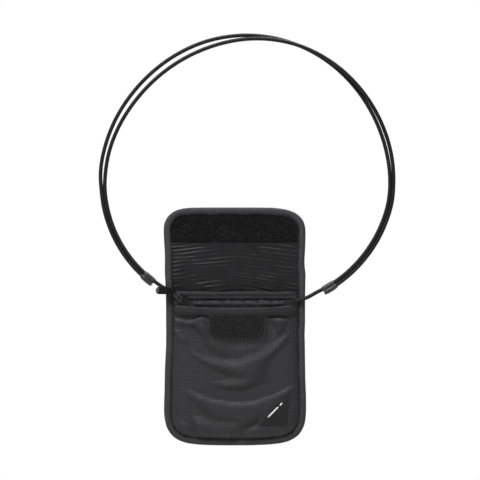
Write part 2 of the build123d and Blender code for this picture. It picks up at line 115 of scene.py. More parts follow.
def solid_sheet(name, x, depth, z, thickness, material):
    """A closed sheet: front surface at depth, rear surface a thickness behind it."""
    rows, cols = x.shape
    front = np.stack([x, depth, z], -1).reshape(-1, 3)
    rear = np.stack([x, depth - thickness, z], -1).reshape(-1, 3)
    n = cols * rows
    faces = grid_faces(rows, cols, flip=True) + grid_faces(rows, cols, base=n)
    for i in range(cols - 1):
        faces.append((i, i + 1, n + i + 1, n + i))
        a = (rows - 1) * cols + i
        faces.append((a + 1, a, n + a, n + a + 1))
    for j in range(rows - 1):
        a, b = j * cols, (j + 1) * cols
        faces.append((b, a, n + a, n + b))
        a, b = a + cols - 1, b + cols - 1
        faces.append((a, b, n + b, n + a))
    return make(name, np.vstack([front, rear]), faces, material, recalculate=True)


def run_lengths(points):
    """Distance travelled along a line at each of its points."""
    return np.r_[0, np.cumsum(np.linalg.norm(np.diff(points, axis=0), axis=1))]


def circle_angles(sides):
    return np.linspace(0, 2 * np.pi, sides, endpoint=False)


def sweep_rings(path, radii, sides):
    """Rings of points square to a path; radii is (points, sides) or (points, 1)."""
    tangent = np.gradient(path, axis=0)
    tangent /= np.linalg.norm(tangent, axis=1)[:, None]
    forward = np.array([0.0, 1.0, 0.0])
    across = forward - tangent * (tangent @ forward)[:, None]
    # where the path runs straight forward, any sideways direction serves
    across[np.linalg.norm(across, axis=1) < 1e-3] = np.array([1.0, 0, 0])
    across /= np.linalg.norm(across, axis=1)[:, None]
    third = np.cross(tangent, across)
    angle = circle_angles(sides)[None, :, None]
    spoke = np.cos(angle) * across[:, None, :] + np.sin(angle) * third[:, None, :]
    return path[:, None, :] + radii[..., None] * spoke


def cap_faces(rings, sides, base=0):
    last = base + (rings - 1) * sides
    return [tuple(base + i for i in range(sides))[::-1], tuple(last + i for i in range(sides))]


def tube(name, path, radius, sides, material, cap=True, start=0.0):
    """A tube along a path; radius is a number or a function of (length, angle)."""
    path = np.asarray(path, float)
    length = start + run_lengths(path)
    angle = circle_angles(sides)
    if callable(radius):
        radii = radius(length[:, None], angle[None, :])
    else:
        radii = np.full((len(path), sides), float(radius))
    faces = grid_faces(len(path), sides, wrap=True)
    if cap:
        faces += cap_faces(len(path), sides)
    uvs = np.stack([np.repeat(length[:, None], sides, 1) * MM,
                    np.repeat(angle[None, :], len(path), 0) / (2 * np.pi)], -1)
    verts = sweep_rings(path, radii, sides).reshape(-1, 3)
    return make(name, verts, faces, material, uvs=uvs.reshape(-1, 2))


def small_tubes(name, paths, radius, sides, material):
    """Many short tubes with narrowed ends, as one mesh."""
    verts, faces, base = [], [], 0
    for path in paths:
        path = np.asarray(path, float)
        radii = np.full((len(path), 1), radius)
        radii[0] = radii[-1] = radius * 0.45
        verts.append(sweep_rings(path, radii, sides).reshape(-1, 3))
        faces += grid_faces(len(path), sides, wrap=True, base=base)
        faces += cap_faces(len(path), sides, base)
        base += len(path) * sides
    return make(name, np.vstack(verts), faces, material)


def stitch(place, shoulder, sink, rise):
    """One stitch over place(0..1): both ends sunk, raised between its shoulders."""
    stations = ((0, -sink), (shoulder, rise), (1 - shoulder, rise), (1, -sink))
    return [place(part) + np.array((0, lift, 0)) for part, lift in stations]


# ---------------------------------------------------------------- fields over the cloth
def ease(t):
    """Smooth step from 0 to 1."""
    t = np.clip(t, 0.0, 1.0)
    return t * t * (3 - 2 * t)


def noise(x, z, scale, seed, octaves=3):
    """Smooth repeatable value noise in -1..1 on arrays."""
    out = np.zeros(np.broadcast(x, z).shape)
    gain, total = 1.0, 0.0
    table_rng = np.random.default_rng(seed)
    for octave in range(octaves):
        table = table_rng.uniform(-1, 1, (64, 64))
        u = np.asarray(x) / scale * 2 ** octave + 17.3 * octave
        v = np.asarray(z) / scale * 2 ** octave + 5.7 * octave
        i = np.floor(u).astype(int)
        j = np.floor(v).astype(int)
        part_u, part_v = ease(u - i), ease(v - j)
        near = table[i % 64, j % 64] * (1 - part_u) + table[(i + 1) % 64, j % 64] * part_u
        far = (table[i % 64, (j + 1) % 64] * (1 - part_u)
               + table[(i + 1) % 64, (j + 1) % 64] * part_u)
        out += gain * (near * (1 - part_v) + far * part_v)
        total += gain
        gain *= 0.5
    return out / total


def crease(x, z, points, width, height, ridge_offset=0.0, ridge=0.0, ends=(0.25, 0.25)):
    """A fold along a line (a negative height sinks), with a ridge beside it."""
    points = np.array(points)
    along = run_lengths(points)
    nearest = np.full(x.shape, 1e9)
    side = np.zeros(x.shape)
    travel = np.zeros(x.shape)
    for k, (step_x, step_z) in enumerate(np.diff(points, axis=0)):
        length = math.hypot(step_x, step_z)
        off_x = x - points[k, 0]
        off_z = z - points[k, 1]
        t = np.clip((off_x * step_x + off_z * step_z) / length ** 2, 0, 1)
        gap = np.hypot(off_x - t * step_x, off_z - t * step_z)
        closer = gap < nearest
        nearest = np.where(closer, gap, nearest)
        side = np.where(closer, np.sign(step_x * off_z - step_z * off_x), side)
        travel = np.where(closer, (along[k] + t * length) / along[-1], travel)
    offset = nearest * side
    taper = ease(travel / ends[0]) * ease((1 - travel) / ends[1])
    fold = (height * np.exp(-(offset / width) ** 2)
            + ridge * np.exp(-((offset - ridge_offset) / (1.35 * width)) ** 2))
    return fold * (0.12 + 0.88 * taper)


def creases(x, z, table):
    return sum(crease(x, z, *row) for row in table)


def pillow(inset, face, edge=3.7, soft=4.2):
    """Depth of a cloth that is held low at the binding and swells to its face."""
    return edge + (face - edge) * (1 - np.exp(-np.maximum(inset - 7.1, 0) / soft))


# ---------------------------------------------------------------- outline
SIDES = [  # z, left x, right x
    (162.945, -53.7825, 45.9015), (161.88, -59.214, 53.1435), (160.815, -62.5155, 57.8295),
    (158.685, -66.7755, 63.261), (156.555, -69.3315, 66.669), (154.425, -71.6745, 69.225),
    (152.295, -73.059, 71.0355), (150.165, -74.2305, 72.633), (148.035, -75.189, 73.5915),
    (145.905, -75.9345, 74.337), (143.775, -76.1475, 74.8695), (139.515, -76.254, 75.402),
    (130.995, -76.041, 75.2955), (124.605, -75.615, 75.0825), (118.215, -75.189, 74.8695),
    (111.825, -74.976, 74.4435), (105.435, -74.976, 74.124), (99.045, -75.0825, 74.55),
    (92.655, -75.0825, 75.5085), (86.265, -74.55, 75.189), (73.485, -74.0175, 74.976),
    (60.705, -73.698, 74.8695), (41.535, -73.698, 74.8695), (28.755, -73.5915, 74.337),
    (15.975, -73.698, 74.6565), (3.195, -74.337, 74.763), (-9.585, -74.976, 74.976),
    (-22.365, -75.189, 75.189), (-35.145, -75.402, 75.828), (-44.73, -75.828, 75.9345),
    (-54.315, -75.9345, 75.9345), (-60.705, -75.402, 75.5085), (-67.095, -74.2305, 74.6565),
    (-71.355, -72.9525, 72.9525), (-73.485, -71.8875, 71.8875), (-75.615, -70.6095, 70.716),
    (-77.745, -69.012, 69.438), (-79.875, -67.308, 67.4145), (-82.005, -65.0715, 64.752),
    (-84.135, -61.77, 61.131), (-86.265, -57.51, 56.7645), (-88.395, -49.629, 47.712)]
# x, z, clockwise as seen from the front
TOP_EDGE = [(-47.925, 163.4775), (-31.95, 163.6905), (-4.26, 163.6905), (24.495, 163.6905),
            (39.405, 163.4775)]
BOTTOM_EDGE = [(35.145, -89.673), (15.975, -90.4185), (-4.26, -90.525), (-24.495, -90.312),
               (-39.405, -89.673)]


def closed_outline(step=1.5):
    """The outline of pouch and flap, clockwise, evenly stepped and rounded."""
    right = [(row[2], row[0]) for row in SIDES]
    left = [(row[1], row[0]) for row in SIDES]
    points = np.array(TOP_EDGE + right + BOTTOM_EDGE + left[::-1])
    closed = np.vstack([points, points[:1]])
    length = run_lengths(closed)
    at = np.linspace(0, length[-1], int(length[-1] / step), endpoint=False)
    even = np.stack([np.interp(at, length, closed[:, i]) for i in (0, 1)], 1)
    for _ in range(5):
        even = 0.5 * even + 0.25 * (np.roll(even, 1, 0) + np.roll(even, -1, 0))
    return even


OUTLINE = closed_outline()
tangents = np.roll(OUTLINE, -1, 0) - np.roll(OUTLINE, 1, 0)
tangents /= np.linalg.norm(tangents, axis=1)[:, None]
OUTWARD = np.stack([-tangents[:, 1], tangents[:, 0]], 1)
OUTLINE_RUN = run_lengths(np.vstack([OUTLINE, OUTLINE[:1]]))


def inset_at(x, z):
    """Distance from the outline."""
    out = np.full(x.shape, 1e9)
    for point_x, point_z in OUTLINE:
        out = np.minimum(out, np.hypot(x - point_x, z - point_z))
    return out


def span(heights, inset):
    """Left and right x of the outline moved in by inset, at each height."""
    start = OUTLINE - OUTWARD * inset
    end = np.roll(start, -1, 0)
    left, right = [], []
    for z in heights:
        crosses = (start[:, 1] - z) * (end[:, 1] - z) <= 0
        a, b = start[crosses], end[crosses]
        climb = b[:, 1] - a[:, 1]
        climb = np.where(np.abs(climb) < 1e-9, 1e-9, climb)
        xs = a[:, 0] + (z - a[:, 1]) / climb * (b[:, 0] - a[:, 0])
        if len(xs) == 0:          # a height beyond the inset outline
            xs = np.array([0.0])
        left.append(xs.min())
        right.append(xs.max())
    return np.array(left), np.array(right)


def panel(z_low, z_high, inset, cols, rows):
    """Grid of x and z filling the outline between two heights."""
    heights = np.linspace(z_low, z_high, rows)
    left, right = span(heights, inset)
    u = np.linspace(0, 1, cols)
    x = left[:, None] * (1 - u) + right[:, None] * u
    return x, np.repeat(heights[:, None], cols, 1)


# ---------------------------------------------------------------- materials
def fresh_tree(owner):
    """The emptied node tree of a material or world."""
    owner.use_nodes = True
    owner.node_tree.nodes.clear()
    return owner.node_tree


def add_node(tree, kind, **inputs):
    """A shader node with input values given by name, underscores for spaces."""
    node = tree.nodes.new("ShaderNode" + kind)
    for key, value in inputs.items():
        node.inputs[key.replace("_", " ")].default_value = value
    return node


class Surface:
    """A material with one principled shader, and shorthand for building it."""

    def __init__(self, name):
        self.material = bpy.data.materials.new(name)
        self.tree = fresh_tree(self.material)
        output = self.node("OutputMaterial")
        self.shader = self.node("BsdfPrincipled")
        self.link(self.shader.outputs[0], output.inputs[0])
        self.coords = self.node("TexCoord")

    def node(self, kind, **inputs):
        return add_node(self.tree, kind, **inputs)

    def link(self, source, target):
        self.tree.links.new(source, target)

    def split(self, vector):
        node = self.node("SeparateXYZ")
        self.link(vector, node.inputs[0])
        return node.outputs

    def noise(self, scale, detail):
        node = self.node("TexNoise", Scale=scale, Detail=detail)
        self.link(self.coords.outputs["Object"], node.inputs["Vector"])
        return node.outputs[0]

    def math(self, operation, *operands):
        node = self.node("Math")
        node.operation = operation
        for socket, operand in zip(node.inputs, operands):
            if isinstance(operand, (int, float)):
                socket.default_value = operand
            else:
                self.link(operand, socket)
        return node.outputs[0]

    def add(self, a, b):
        return self.math("ADD", a, b)

    def subtract(self, a, b):
        return self.math("SUBTRACT", a, b)

    def multiply(self, a, b):
        return self.math("MULTIPLY", a, b)

    def wave(self, coord, pitch):
        return self.math("SINE", self.multiply(coord, 2 * math.pi / pitch))

    def lines(self, coord, pitch, width):
        """1 on thin soft-edged lines every pitch along a coordinate, else 0."""
        part = self.math("FRACT", self.math("DIVIDE", coord, pitch))
        gap = self.math("ABSOLUTE", self.subtract(part, 0.5))
        over = self.math("MAXIMUM", self.subtract(gap, 0.5 - width), 0.0)
        return self.multiply(over, 1.0 / width)

    def colour(self, dark, light, factor):
        clamp = self.node("Clamp")
        self.link(factor, clamp.inputs[0])
        mix = self.node("MixRGB")
        mix.inputs[1].default_value = (*dark, 1)
        mix.inputs[2].default_value = (*light, 1)
        self.link(clamp.outputs[0], mix.inputs[0])
        self.link(mix.outputs[0], self.shader.inputs["Base Color"])

    def roughness(self, base, mottle, spread):
        value = self.add(base - spread / 2, self.multiply(mottle, spread))
        self.link(value, self.shader.inputs["Roughness"])

    def bump(self, height, strength, distance):
        node = self.node("Bump", Strength=strength, Distance=distance)
        self.link(height, node.inputs["Height"])
        self.link(node.outputs[0], self.shader.inputs["Normal"])

    def values(self, **inputs):
        for key, value in inputs.items():
            self.shader.inputs[key.replace("_", " ")].default_value = value


def fabric(name, dark, light, rough, sheen, vary, bump, spec, grid=None, grid_gain=0.55,
           weave=0.00045, ribs=None, ribs_along_uv=False, fine_scale=1500.0, fine_gain=0.9):
    """Woven cloth: mottled colour and weave bump, with optional ripstop grid or ribs.

    weave, grid and ribs are pitches in metres; vary and the gains weigh each pattern
    in the blend from dark to light.
    """
    s = Surface(name)
    x, _, z = s.split(s.coords.outputs["Object"])
    mottle = s.noise(38.0, 4.0)
    fine = s.noise(fine_scale, 2.0)
    factor = s.add(s.multiply(mottle, vary), s.multiply(s.subtract(fine, 0.5), fine_gain))
    crossed = s.multiply(s.wave(x, weave), s.wave(z, weave))
    height = s.add(s.multiply(crossed, 0.25), s.multiply(fine, 0.5))
    if grid:
        wobble = s.noise(60.0, 1.0)
        grid_x = s.add(x, s.multiply(wobble, 0.0012))
        grid_z = s.add(z, s.multiply(wobble, 0.0012))
        squares = s.math("MAXIMUM", s.lines(grid_x, grid, 0.27), s.lines(grid_z, grid, 0.27))
        factor = s.add(factor, s.multiply(squares, grid_gain))
        height = s.add(height, s.multiply(squares, 1.2))
    if ribs:
        rib_coord = s.split(s.coords.outputs["UV"])[0] if ribs_along_uv else x
        rib = s.wave(rib_coord, ribs)
        height = s.add(height, s.multiply(rib, 0.9))
        factor = s.add(factor, s.multiply(rib, 0.14))
    s.colour(dark, light, factor)
    s.roughness(rough, mottle, spread=0.16)
    s.values(Specular_IOR_Level=spec, Sheen_Weight=sheen, Sheen_Roughness=0.4,
             Sheen_Tint=(0.9, 0.9, 1.0, 1))
    s.bump(height, bump, 0.00025)
    return s.material


def hard(name, base, rough, metallic=0.0, spec=0.5, speckle=0.3, bump=0.1):
    """Moulded plastic or painted metal: fine grain, and a painted highlight that makes its sharp
    edges paler.
    """
    s = Surface(name)
    mottle = s.noise(220.0, 5.0)
    grain = s.noise(2600.0, 2.0)
    # painted highlight: convex edges, found by pointiness, are coloured paler
    pointiness = s.node("NewGeometry").outputs["Pointiness"]
    edge = s.multiply(s.math("MAXIMUM", s.subtract(pointiness, 0.52), 0.0), 4.0)
    specks = s.multiply(s.subtract(grain, 0.5), speckle)
    factor = s.add(s.add(s.multiply(mottle, 0.6), specks), edge)
    s.colour([c * 0.75 for c in base], [min(1, c * 1.5) for c in base], factor)
    s.roughness(rough, mottle, spread=0.2)
    s.values(Metallic=metallic, Specular_IOR_Level=spec)
    s.bump(grain, bump, 0.0002)
    return s.material


MATERIALS = {
    "nylon": fabric(
        "nylon_ripstop", dark=(0.0005, 0.0004, 0.0006), light=(0.0168, 0.0162, 0.0192),
        rough=0.45, sheen=0.02, vary=0.30, bump=0.7, spec=0.37, grid=RIPSTOP, grid_gain=1.2),
    "nylon_back": fabric(
        "nylon_back", dark=(0.0100, 0.0100, 0.0112), light=(0.042, 0.042, 0.046),
        rough=0.5, sheen=0.05, vary=0.45, bump=0.5, spec=0.3, grid=RIPSTOP, grid_gain=0.8),
    "lining": fabric(
        "lining_cloth", dark=(0.0036, 0.0036, 0.0042), light=(0.0165, 0.0165, 0.0187),
        rough=0.50, sheen=0.03, vary=0.6, bump=0.3, spec=0.22),
    "tape": fabric(
        "zip_tape_cloth", dark=(0.017, 0.017, 0.0186), light=(0.070, 0.070, 0.075),
        rough=0.6, sheen=0.06, vary=0.5, bump=0.5, spec=0.25, ribs=0.0011),
    "hem": fabric(
        "hem_cloth", dark=(0.0030, 0.0030, 0.0036), light=(0.0175, 0.0175, 0.0195),
        rough=0.48, sheen=0.03, vary=0.5, bump=0.5, spec=0.3, grid=RIPSTOP, grid_gain=0.7),
    "binding": fabric(
        "binding_grosgrain", dark=(0.019, 0.019, 0.0204), light=(0.062, 0.062, 0.066),
        rough=0.62, sheen=0.10, vary=0.5, bump=0.6, spec=0.25, ribs=0.0013,
        ribs_along_uv=True),
    "loop": fabric(
        "loop_pile", dark=(0.0035, 0.0035, 0.0038), light=(0.030, 0.030, 0.032),
        rough=0.95, sheen=0.08, vary=0.30, bump=0.9, spec=0.08, weave=0.0011,
        fine_scale=560.0, fine_gain=1.7),
    "hook": fabric(
        "hook_tape", dark=(0.0040, 0.0040, 0.0046), light=(0.034, 0.034, 0.036),
        rough=0.7, sheen=0.04, vary=0.3, bump=0.6, spec=0.2, weave=0.0015,
        fine_scale=560.0, fine_gain=2.2),
    "thread": fabric(
        "thread", dark=(0.0015, 0.0015, 0.0018), light=(0.0075, 0.0075, 0.0085),
        rough=0.6, sheen=0.04, vary=0.6, bump=0.3, spec=0.15, weave=0.0006),
    "cord": fabric(
        "cord_braid", dark=(0.0045, 0.0045, 0.0050), light=(0.022, 0.022, 0.024),
        rough=0.6, sheen=0.05, vary=0.35, bump=0.5, spec=0.2, weave=0.0008),
    "plastic": hard("moulded_plastic", base=(0.022, 0.022, 0.0238), rough=0.43, spec=0.44),
    "label": hard("label_film", base=(0.0095, 0.0095, 0.0105), rough=0.46, speckle=0.15,
                  bump=0.03, spec=0.28),
    "mark": hard("label_mark", base=(0.85, 0.85, 0.86), rough=0.5, speckle=0.2, bump=0.03),
    "metal": hard("slider_enamel", base=(0.0085, 0.0085, 0.0092), rough=0.32, metallic=0.3),
    "grip": hard("pull_grip_rubber", base=(0.0028, 0.0028, 0.0033), rough=0.50, spec=0.13,
                 speckle=0.6, bump=0.3),
    # the grip's ribs are coloured lighter than the grip itself: a painted highlight on their
    # raised tops
    "grip_rib": hard("pull_grip_rib_painted_highlight", base=(0.022, 0.022, 0.0235), rough=0.45, spec=0.40),
    "steel": hard("link_steel", base=(0.10, 0.10, 0.105), rough=0.34, metallic=0.7),
    # the steel eyelet is coloured light grey and not metallic: a painted glint in place of its
    # reflection
    "eyelet": hard("eyelet_painted_glint", base=(0.27, 0.27, 0.275), rough=0.42),
    "coil": hard("coil_nylon", base=(0.0080, 0.0080, 0.0090), rough=0.38),
}


# ---------------------------------------------------------------- front pocket
POCKET_BASE, POCKET_TOP = -85.2, 53.5
POCKET_INSET = 4.6
HOOK_CENTRE = (1.5, 37.7)
HOOK_BASE_DEPTH = 10.15

# Fold tables. Each row: line of (x, z) points, width, height, then optionally
# ridge offset, ridge height and the shares of the length that taper at (start, end).
HEM_FOLDS = [      # pulls just under the hem, beside the hook patch
    ([(-66.03, 48.99), (-47.925, 46.86), (-33.015, 50.055)], 2.6, -2.3, -6.2, 1.0, (0.05, 0.25)),
    ([(-40.47, 51.12), (-36.21, 39.405), (-28.755, 25.56)], 3.4, 1.5),
    ([(-48.99, 42.6), (-44.73, 31.95), (-35.145, 19.17)], 3.4, -1.3),
    ([(-61.77, 35.145), (-58.575, 25.56), (-50.055, 18.105)], 4.2, 0.8, 0.0, 0.0, (0.2, 0.4)),
    ([(33.015, 50.055), (52.185, 47.925), (69.225, 51.12)], 2.4, -1.3, -5.6, 0.7, (0.2, 0.05)),
    ([(43.665, 45.795), (48.99, 37.275), (44.73, 24.495)], 3.2, 1.1),
    ([(34.08, 43.665), (37.275, 33.015), (47.925, 21.3)], 3.0, -0.9),
]
POCKET_FOLDS = [
    # pull from the hem's left end, and fans on either side of the hook patch
    ([(-64.965, 48.99), (-47.925, 45.795), (-34.08, 48.99)], 3.2, -1.7, -6.0, 1.2, (0.05, 0.3)),
    ([(-41.535, 51.12), (-36.21, 39.405), (-27.69, 24.495)], 4.4, 1.5),
    ([(-47.925, 41.535), (-43.665, 29.82), (-34.08, 19.17)], 3.8, -1.0),
    ([(46.86, 52.185), (51.12, 41.535), (46.86, 26.625)], 4.4, 1.1),
    ([(33.015, 43.665), (37.275, 34.08), (50.055, 22.365)], 3.6, -0.8),
    ([(-62.835, 33.015), (-58.575, 24.495), (-47.925, 17.04)], 3.8, 1.5, 0.0, 0.0, (0.1, 0.3)),
    # drapes that hang between the sides
    ([(-58.575, 24.495), (-45.795, 13.845), (-24.495, 5.325), (1.065, 1.065),
      (28.755, 11.715), (56.445, 28.755)], 5.6, -1.9, -8.0, 1.3, (0.15, 0.18)),
    ([(-11.715, 19.17), (11.715, 17.04), (35.145, 22.365), (60.705, 33.015)],
     4.2, -1.1, -6.0, 0.8, (0.3, 0.2)),
    ([(-67.095, 1.065), (-43.665, -7.455), (-15.975, -15.975), (7.455, -18.105),
      (24.495, -11.715)], 5.4, -1.9, -8.0, 1.3, (0.15, 0.3)),
    ([(11.715, -5.325), (35.145, -1.065), (54.315, 7.455), (71.355, 15.975)],
     5.2, -1.4, -7.0, 0.9, (0.3, 0.15)),
    ([(-54.315, -23.43), (-30.885, -33.015), (-3.195, -38.34), (22.365, -36.21),
      (50.055, -24.495), (66.03, -11.715)], 5.8, -2.8, -8.4, 1.9, (0.18, 0.18)),
    ([(-30.885, -20.235), (1.065, -26.625), (28.755, -22.365)], 5.0, 1.1),
    ([(-47.925, -46.86), (-22.365, -54.315), (9.585, -54.315), (33.015, -47.925)],
     7.0, 0.8, 0.0, 0.0, (0.3, 0.3)),
    # lower part
    ([(-66.03, -45.795), (-55.38, -54.315), (-45.795, -67.095), (-38.34, -84.135)],
     5.0, -1.3, 6.5, 0.9),
    ([(28.755, -62.835), (9.585, -71.355), (-3.195, -84.135)], 5.2, -1.1, -6.5, 0.9),
    ([(-11.715, -58.575), (-20.235, -71.355), (-25.56, -86.265)], 4.0, -0.7, 5.0, 0.5),
    ([(70.29, -28.755), (64.965, -43.665), (67.095, -71.355)], 3.6, -0.6, 4.6, 0.5),
]
DEEP_FOLDS = [     # laid over the settled cloth
    ([(-67.095, -45.795), (-56.445, -54.315), (-46.86, -67.095), (-39.405, -85.2)],
     5.0, -1.7, 6.5, 1.0, (0.1, 0.2)),
    ([(30.885, -62.835), (11.715, -70.29), (-3.195, -85.2)], 5.0, -1.5, -6.5, 0.9, (0.3, 0.2)),
    ([(-47.925, -28.755), (-22.365, -37.275), (3.195, -39.405), (28.755, -36.21),
      (52.185, -26.625)], 4.2, -1.3),
    ([(-52.185, 20.235), (-33.015, 11.715), (-13.845, 2.13), (5.325, -1.065)],
     4.2, -1.2, 0.0, 0.0, (0.2, 0.4)),
    ([(-60.705, -1.065), (-41.535, -9.585), (-20.235, -18.105)],
     4.2, -1.1, 0.0, 0.0, (0.2, 0.4)),
]


def pocket_folds(x, z, inset):
    """The drawn folds, a little noise, and small gathers along the bound edge."""
    folds = creases(x, z, POCKET_FOLDS) + 0.75 * noise(x, z, 30, 3, 2) + 0.13 * noise(x, z, 8, 5)
    angle = np.arctan2(z + 10, x)
    gathers = np.sin(angle * 46 + 3 * np.sin(angle * 7))
    return folds + 0.30 * np.exp(-((inset - 9) / 4.5) ** 2) * gathers


def drape(start_x, start_z, sewn_x, sewn_z, depth, held, frames=30):
    """Depth of a cloth drawn from its cut size to its sewn size and let settle.

    The simulation runs ten times larger than life.
    """
    scale = MM * 10
    rows, cols = start_x.shape
    start = np.stack([start_x, -depth, start_z], -1).reshape(-1, 3) * scale
    sewn = np.stack([sewn_x, -depth, sewn_z], -1).reshape(-1, 3) * scale
    mesh = bpy.data.meshes.new("drape")
    mesh.from_pydata(start.tolist(), [], grid_faces(rows, cols))
    mesh.update()
    ob = bpy.data.objects.new("drape", mesh)
    scene = bpy.context.scene
    scene.collection.objects.link(ob)

    ob.shape_key_add(name="Basis")
    key = ob.shape_key_add(name="sewn")
    key.data.foreach_set("co", sewn.ravel())
    for value, at in ((0.0, 1), (1.0, int(frames * 0.6))):
        key.value = value
        key.keyframe_insert("value", frame=at)
    group = ob.vertex_groups.new(name="pin")
    for i in np.flatnonzero(held):
        group.add([int(i)], 1.0, "REPLACE")

    modifier = ob.modifiers.new("cloth", "CLOTH")
    settings = dict(
        vertex_group_mass="pin", quality=5, mass=0.2, air_damping=4.0,
        tension_stiffness=15, compression_stiffness=15, shear_stiffness=5,
        bending_stiffness=4.0, tension_damping=10, compression_damping=10,
        shear_damping=10, bending_damping=2.0)
    for setting, value in settings.items():
        setattr(modifier.settings, setting, value)
    modifier.collision_settings.use_collision = False
    modifier.collision_settings.use_self_collision = False
    modifier.point_cache.frame_start = 1
    modifier.point_cache.frame_end = frames

    old_gravity = tuple(scene.gravity)
    old_frame = scene.frame_current
    scene.gravity = (0, 0, -9.8 * 0.25)
    for at in range(1, frames + 1):
        scene.frame_set(at)
    evaluated = ob.evaluated_get(bpy.context.evaluated_depsgraph_get())
    result = evaluated.to_mesh()
    points = np.empty(len(result.vertices) * 3)
    result.vertices.foreach_get("co", points)
    evaluated.to_mesh_clear()
    scene.gravity = old_gravity
    scene.frame_set(old_frame)
    bpy.data.objects.remove(ob)
    return -points.reshape(rows, cols, 3)[..., 1] / scale


def smooth_field(a, passes):
    """Even out the solver's cell-to-cell chatter."""
    for _ in range(passes):
        b = np.pad(a, 1, mode="edge")
        beside = b[:-2, 1:-1] + b[2:, 1:-1] + b[1:-1, :-2] + b[1:-1, 2:]
        corners = b[:-2, :-2] + b[:-2, 2:] + b[2:, :-2] + b[2:, 2:]
        a = (4 * a + 2 * beside + corners) / 16
    return a


def resample(field, rows, cols):
    """A field on a coarse grid brought to a fine one, by smooth cubic steps."""
    def along(m, count):
        t = np.linspace(0, m.shape[0] - 1, count)
        i = np.clip(t.astype(int), 0, m.shape[0] - 2)
        f = (t - i)[:, None]
        padded = np.vstack([2 * m[:1] - m[1:2], m, 2 * m[-1:] - m[-2:-1]])
        p0, p1, p2, p3 = (padded[i + k] for k in range(4))
        return 0.5 * (2 * p1 + (p2 - p0) * f + (2 * p0 - 5 * p1 + 4 * p2 - p3) * f ** 2
                      + (3 * p1 - p0 - 3 * p2 + p3) * f ** 3)
    return along(along(field, rows).T, cols).T


def clear_of(x, z, centre, half_x, half_z):
    """0 inside a rectangle, easing to 1 at 9 mm outside it."""
    out_x = np.maximum(np.abs(x - centre[0]) - half_x, 0)
    out_z = np.maximum(np.abs(z - centre[1]) - half_z, 0)
    return ease(np.hypot(out_x, out_z) / 9.0)


def settled_cloth():
    """Depth of the pocket cloth, cut 6 per cent too tall and gathered to its seams."""
    x, z = panel(POCKET_BASE, POCKET_TOP, POCKET_INSET, cols=66, rows=64)
    inset = inset_at(x, z)
    depth = pillow(inset, 9.4) + 0.6 * pocket_folds(x, z, inset) * ease((inset - 6.5) / 5)
    held = (inset < 7.2) | (z > 51.0)
    cut_z = POCKET_TOP + (z - POCKET_TOP) * 1.06
    return drape(x * 1.01, cut_z, x, z, depth, held)


def front_pocket():
    """The pocket cloth; returns its x, z and depth grids."""
    cols, rows = 210, 215
    x, z = panel(POCKET_BASE, POCKET_TOP, POCKET_INSET, cols, rows)
    inset = inset_at(x, z)
    drawn = pocket_folds(x, z, inset)
    settled = resample(smooth_field(settled_cloth(), 5), rows, cols) - pillow(inset, 9.4)
    # fall back on the drawn folds if the simulation has blown up
    settled = np.clip(settled, -4.0, 4.0) if np.isfinite(settled).all() else drawn
    base_damp = 1 - 0.55 * ease((-58 - z) / 16)
    fold = (0.50 * drawn + 1.18 * settled * base_damp + 1.25 * creases(x, z, HEM_FOLDS)
            + 1.35 * creases(x, z, DEEP_FOLDS))
    under_hook = 0.22 + 0.78 * clear_of(x, z, HOOK_CENTRE, 27, 12)
    under_label = 0.3 + 0.7 * clear_of(x, z, (44, -56), 14, 14)
    depth = pillow(inset, 9.5) + fold * ease((inset - 6.5) / 5) * under_hook * under_label
    depth -= 0.9 * (1 - ease((POCKET_TOP - z) / 14))
    # keep within the pouch's thickness
    crest = 10.2
    depth = np.where(depth > crest, crest + 1.5 * np.tanh((depth - crest) / 1.5), depth)
    depth = np.maximum(depth, pillow(inset, 7.6))
    cloth = solid_sheet("front_pocket_cloth", x, depth, z, 0.45, MATERIALS["nylon"])
    attach(cloth, "nylon", "pouch", "front_pocket_panel", "zip_pocket_front")
    return x, z, depth


POCKET_X, POCKET_Z, POCKET_DEPTH = front_pocket()


def pocket_depth(x, z):
    """Depth of the front pocket's cloth near a point."""
    heights = POCKET_Z[:, 0]
    j = int(np.clip(np.searchsorted(heights, z), 1, len(heights) - 1))
    row = POCKET_X[j]
    i = int(np.clip(np.searchsorted(row, x), 1, len(row) - 1))
    return float(POCKET_DEPTH[j, i])


# ---------------------------------------------------------------- strips across the pouch
HEM_HEIGHT = 8.6
HEM_ROWS = 22
TAPE = dict(thickness=0.35, cols=420, rows=14, edge_in=6.2, bulge=0.0)
LOWER_TAPE_TOP = 65.15


def level(z):
    """A height curve that stays at one z."""
    return lambda x: z + 0.0 * x


def hem_top(x):
    return 56.6 + 3.6 * (x / 68.0) ** 2


def strip(name, top, bottom, depth_at, thickness, material, cols=260, rows=12,
          edge_in=5.0, bulge=0.35):
    """A cloth strip between two height curves; returns it with its x row and depths."""
    left, right = span([(top(0.0) + bottom(0.0)) / 2], edge_in)
    row = np.linspace(left[0], right[0], cols)
    v = np.linspace(0, 1, rows)[:, None]
    x = np.repeat(row[None, :], rows, 0)
    z = bottom(row)[None, :] * (1 - v) + top(row)[None, :] * v
    depth = depth_at(x, z, v, inset_at(x, z)) + bulge * (1 - (2 * v - 1) ** 4)
    return solid_sheet(name, x, depth, z, thickness, material), row, depth


def hem_depth(x, z, v, inset):
    groove = 0.35 * np.exp(-((v - 0.12) / 0.07) ** 2)
    return pillow(inset, 10.7, edge=3.9, soft=4.0) + 0.35 * noise(x, z * 0.3, 14, 11) - groove


def mouth_depth(x, z, v, inset):
    return pillow(inset, 8.6, edge=3.9, soft=4.0) + 0.18 * noise(x, z * 0.3, 10, 13)


def upper_tape_depth(x, z, v, inset):
    return pillow(inset, 8.25, edge=3.6, soft=3.0)


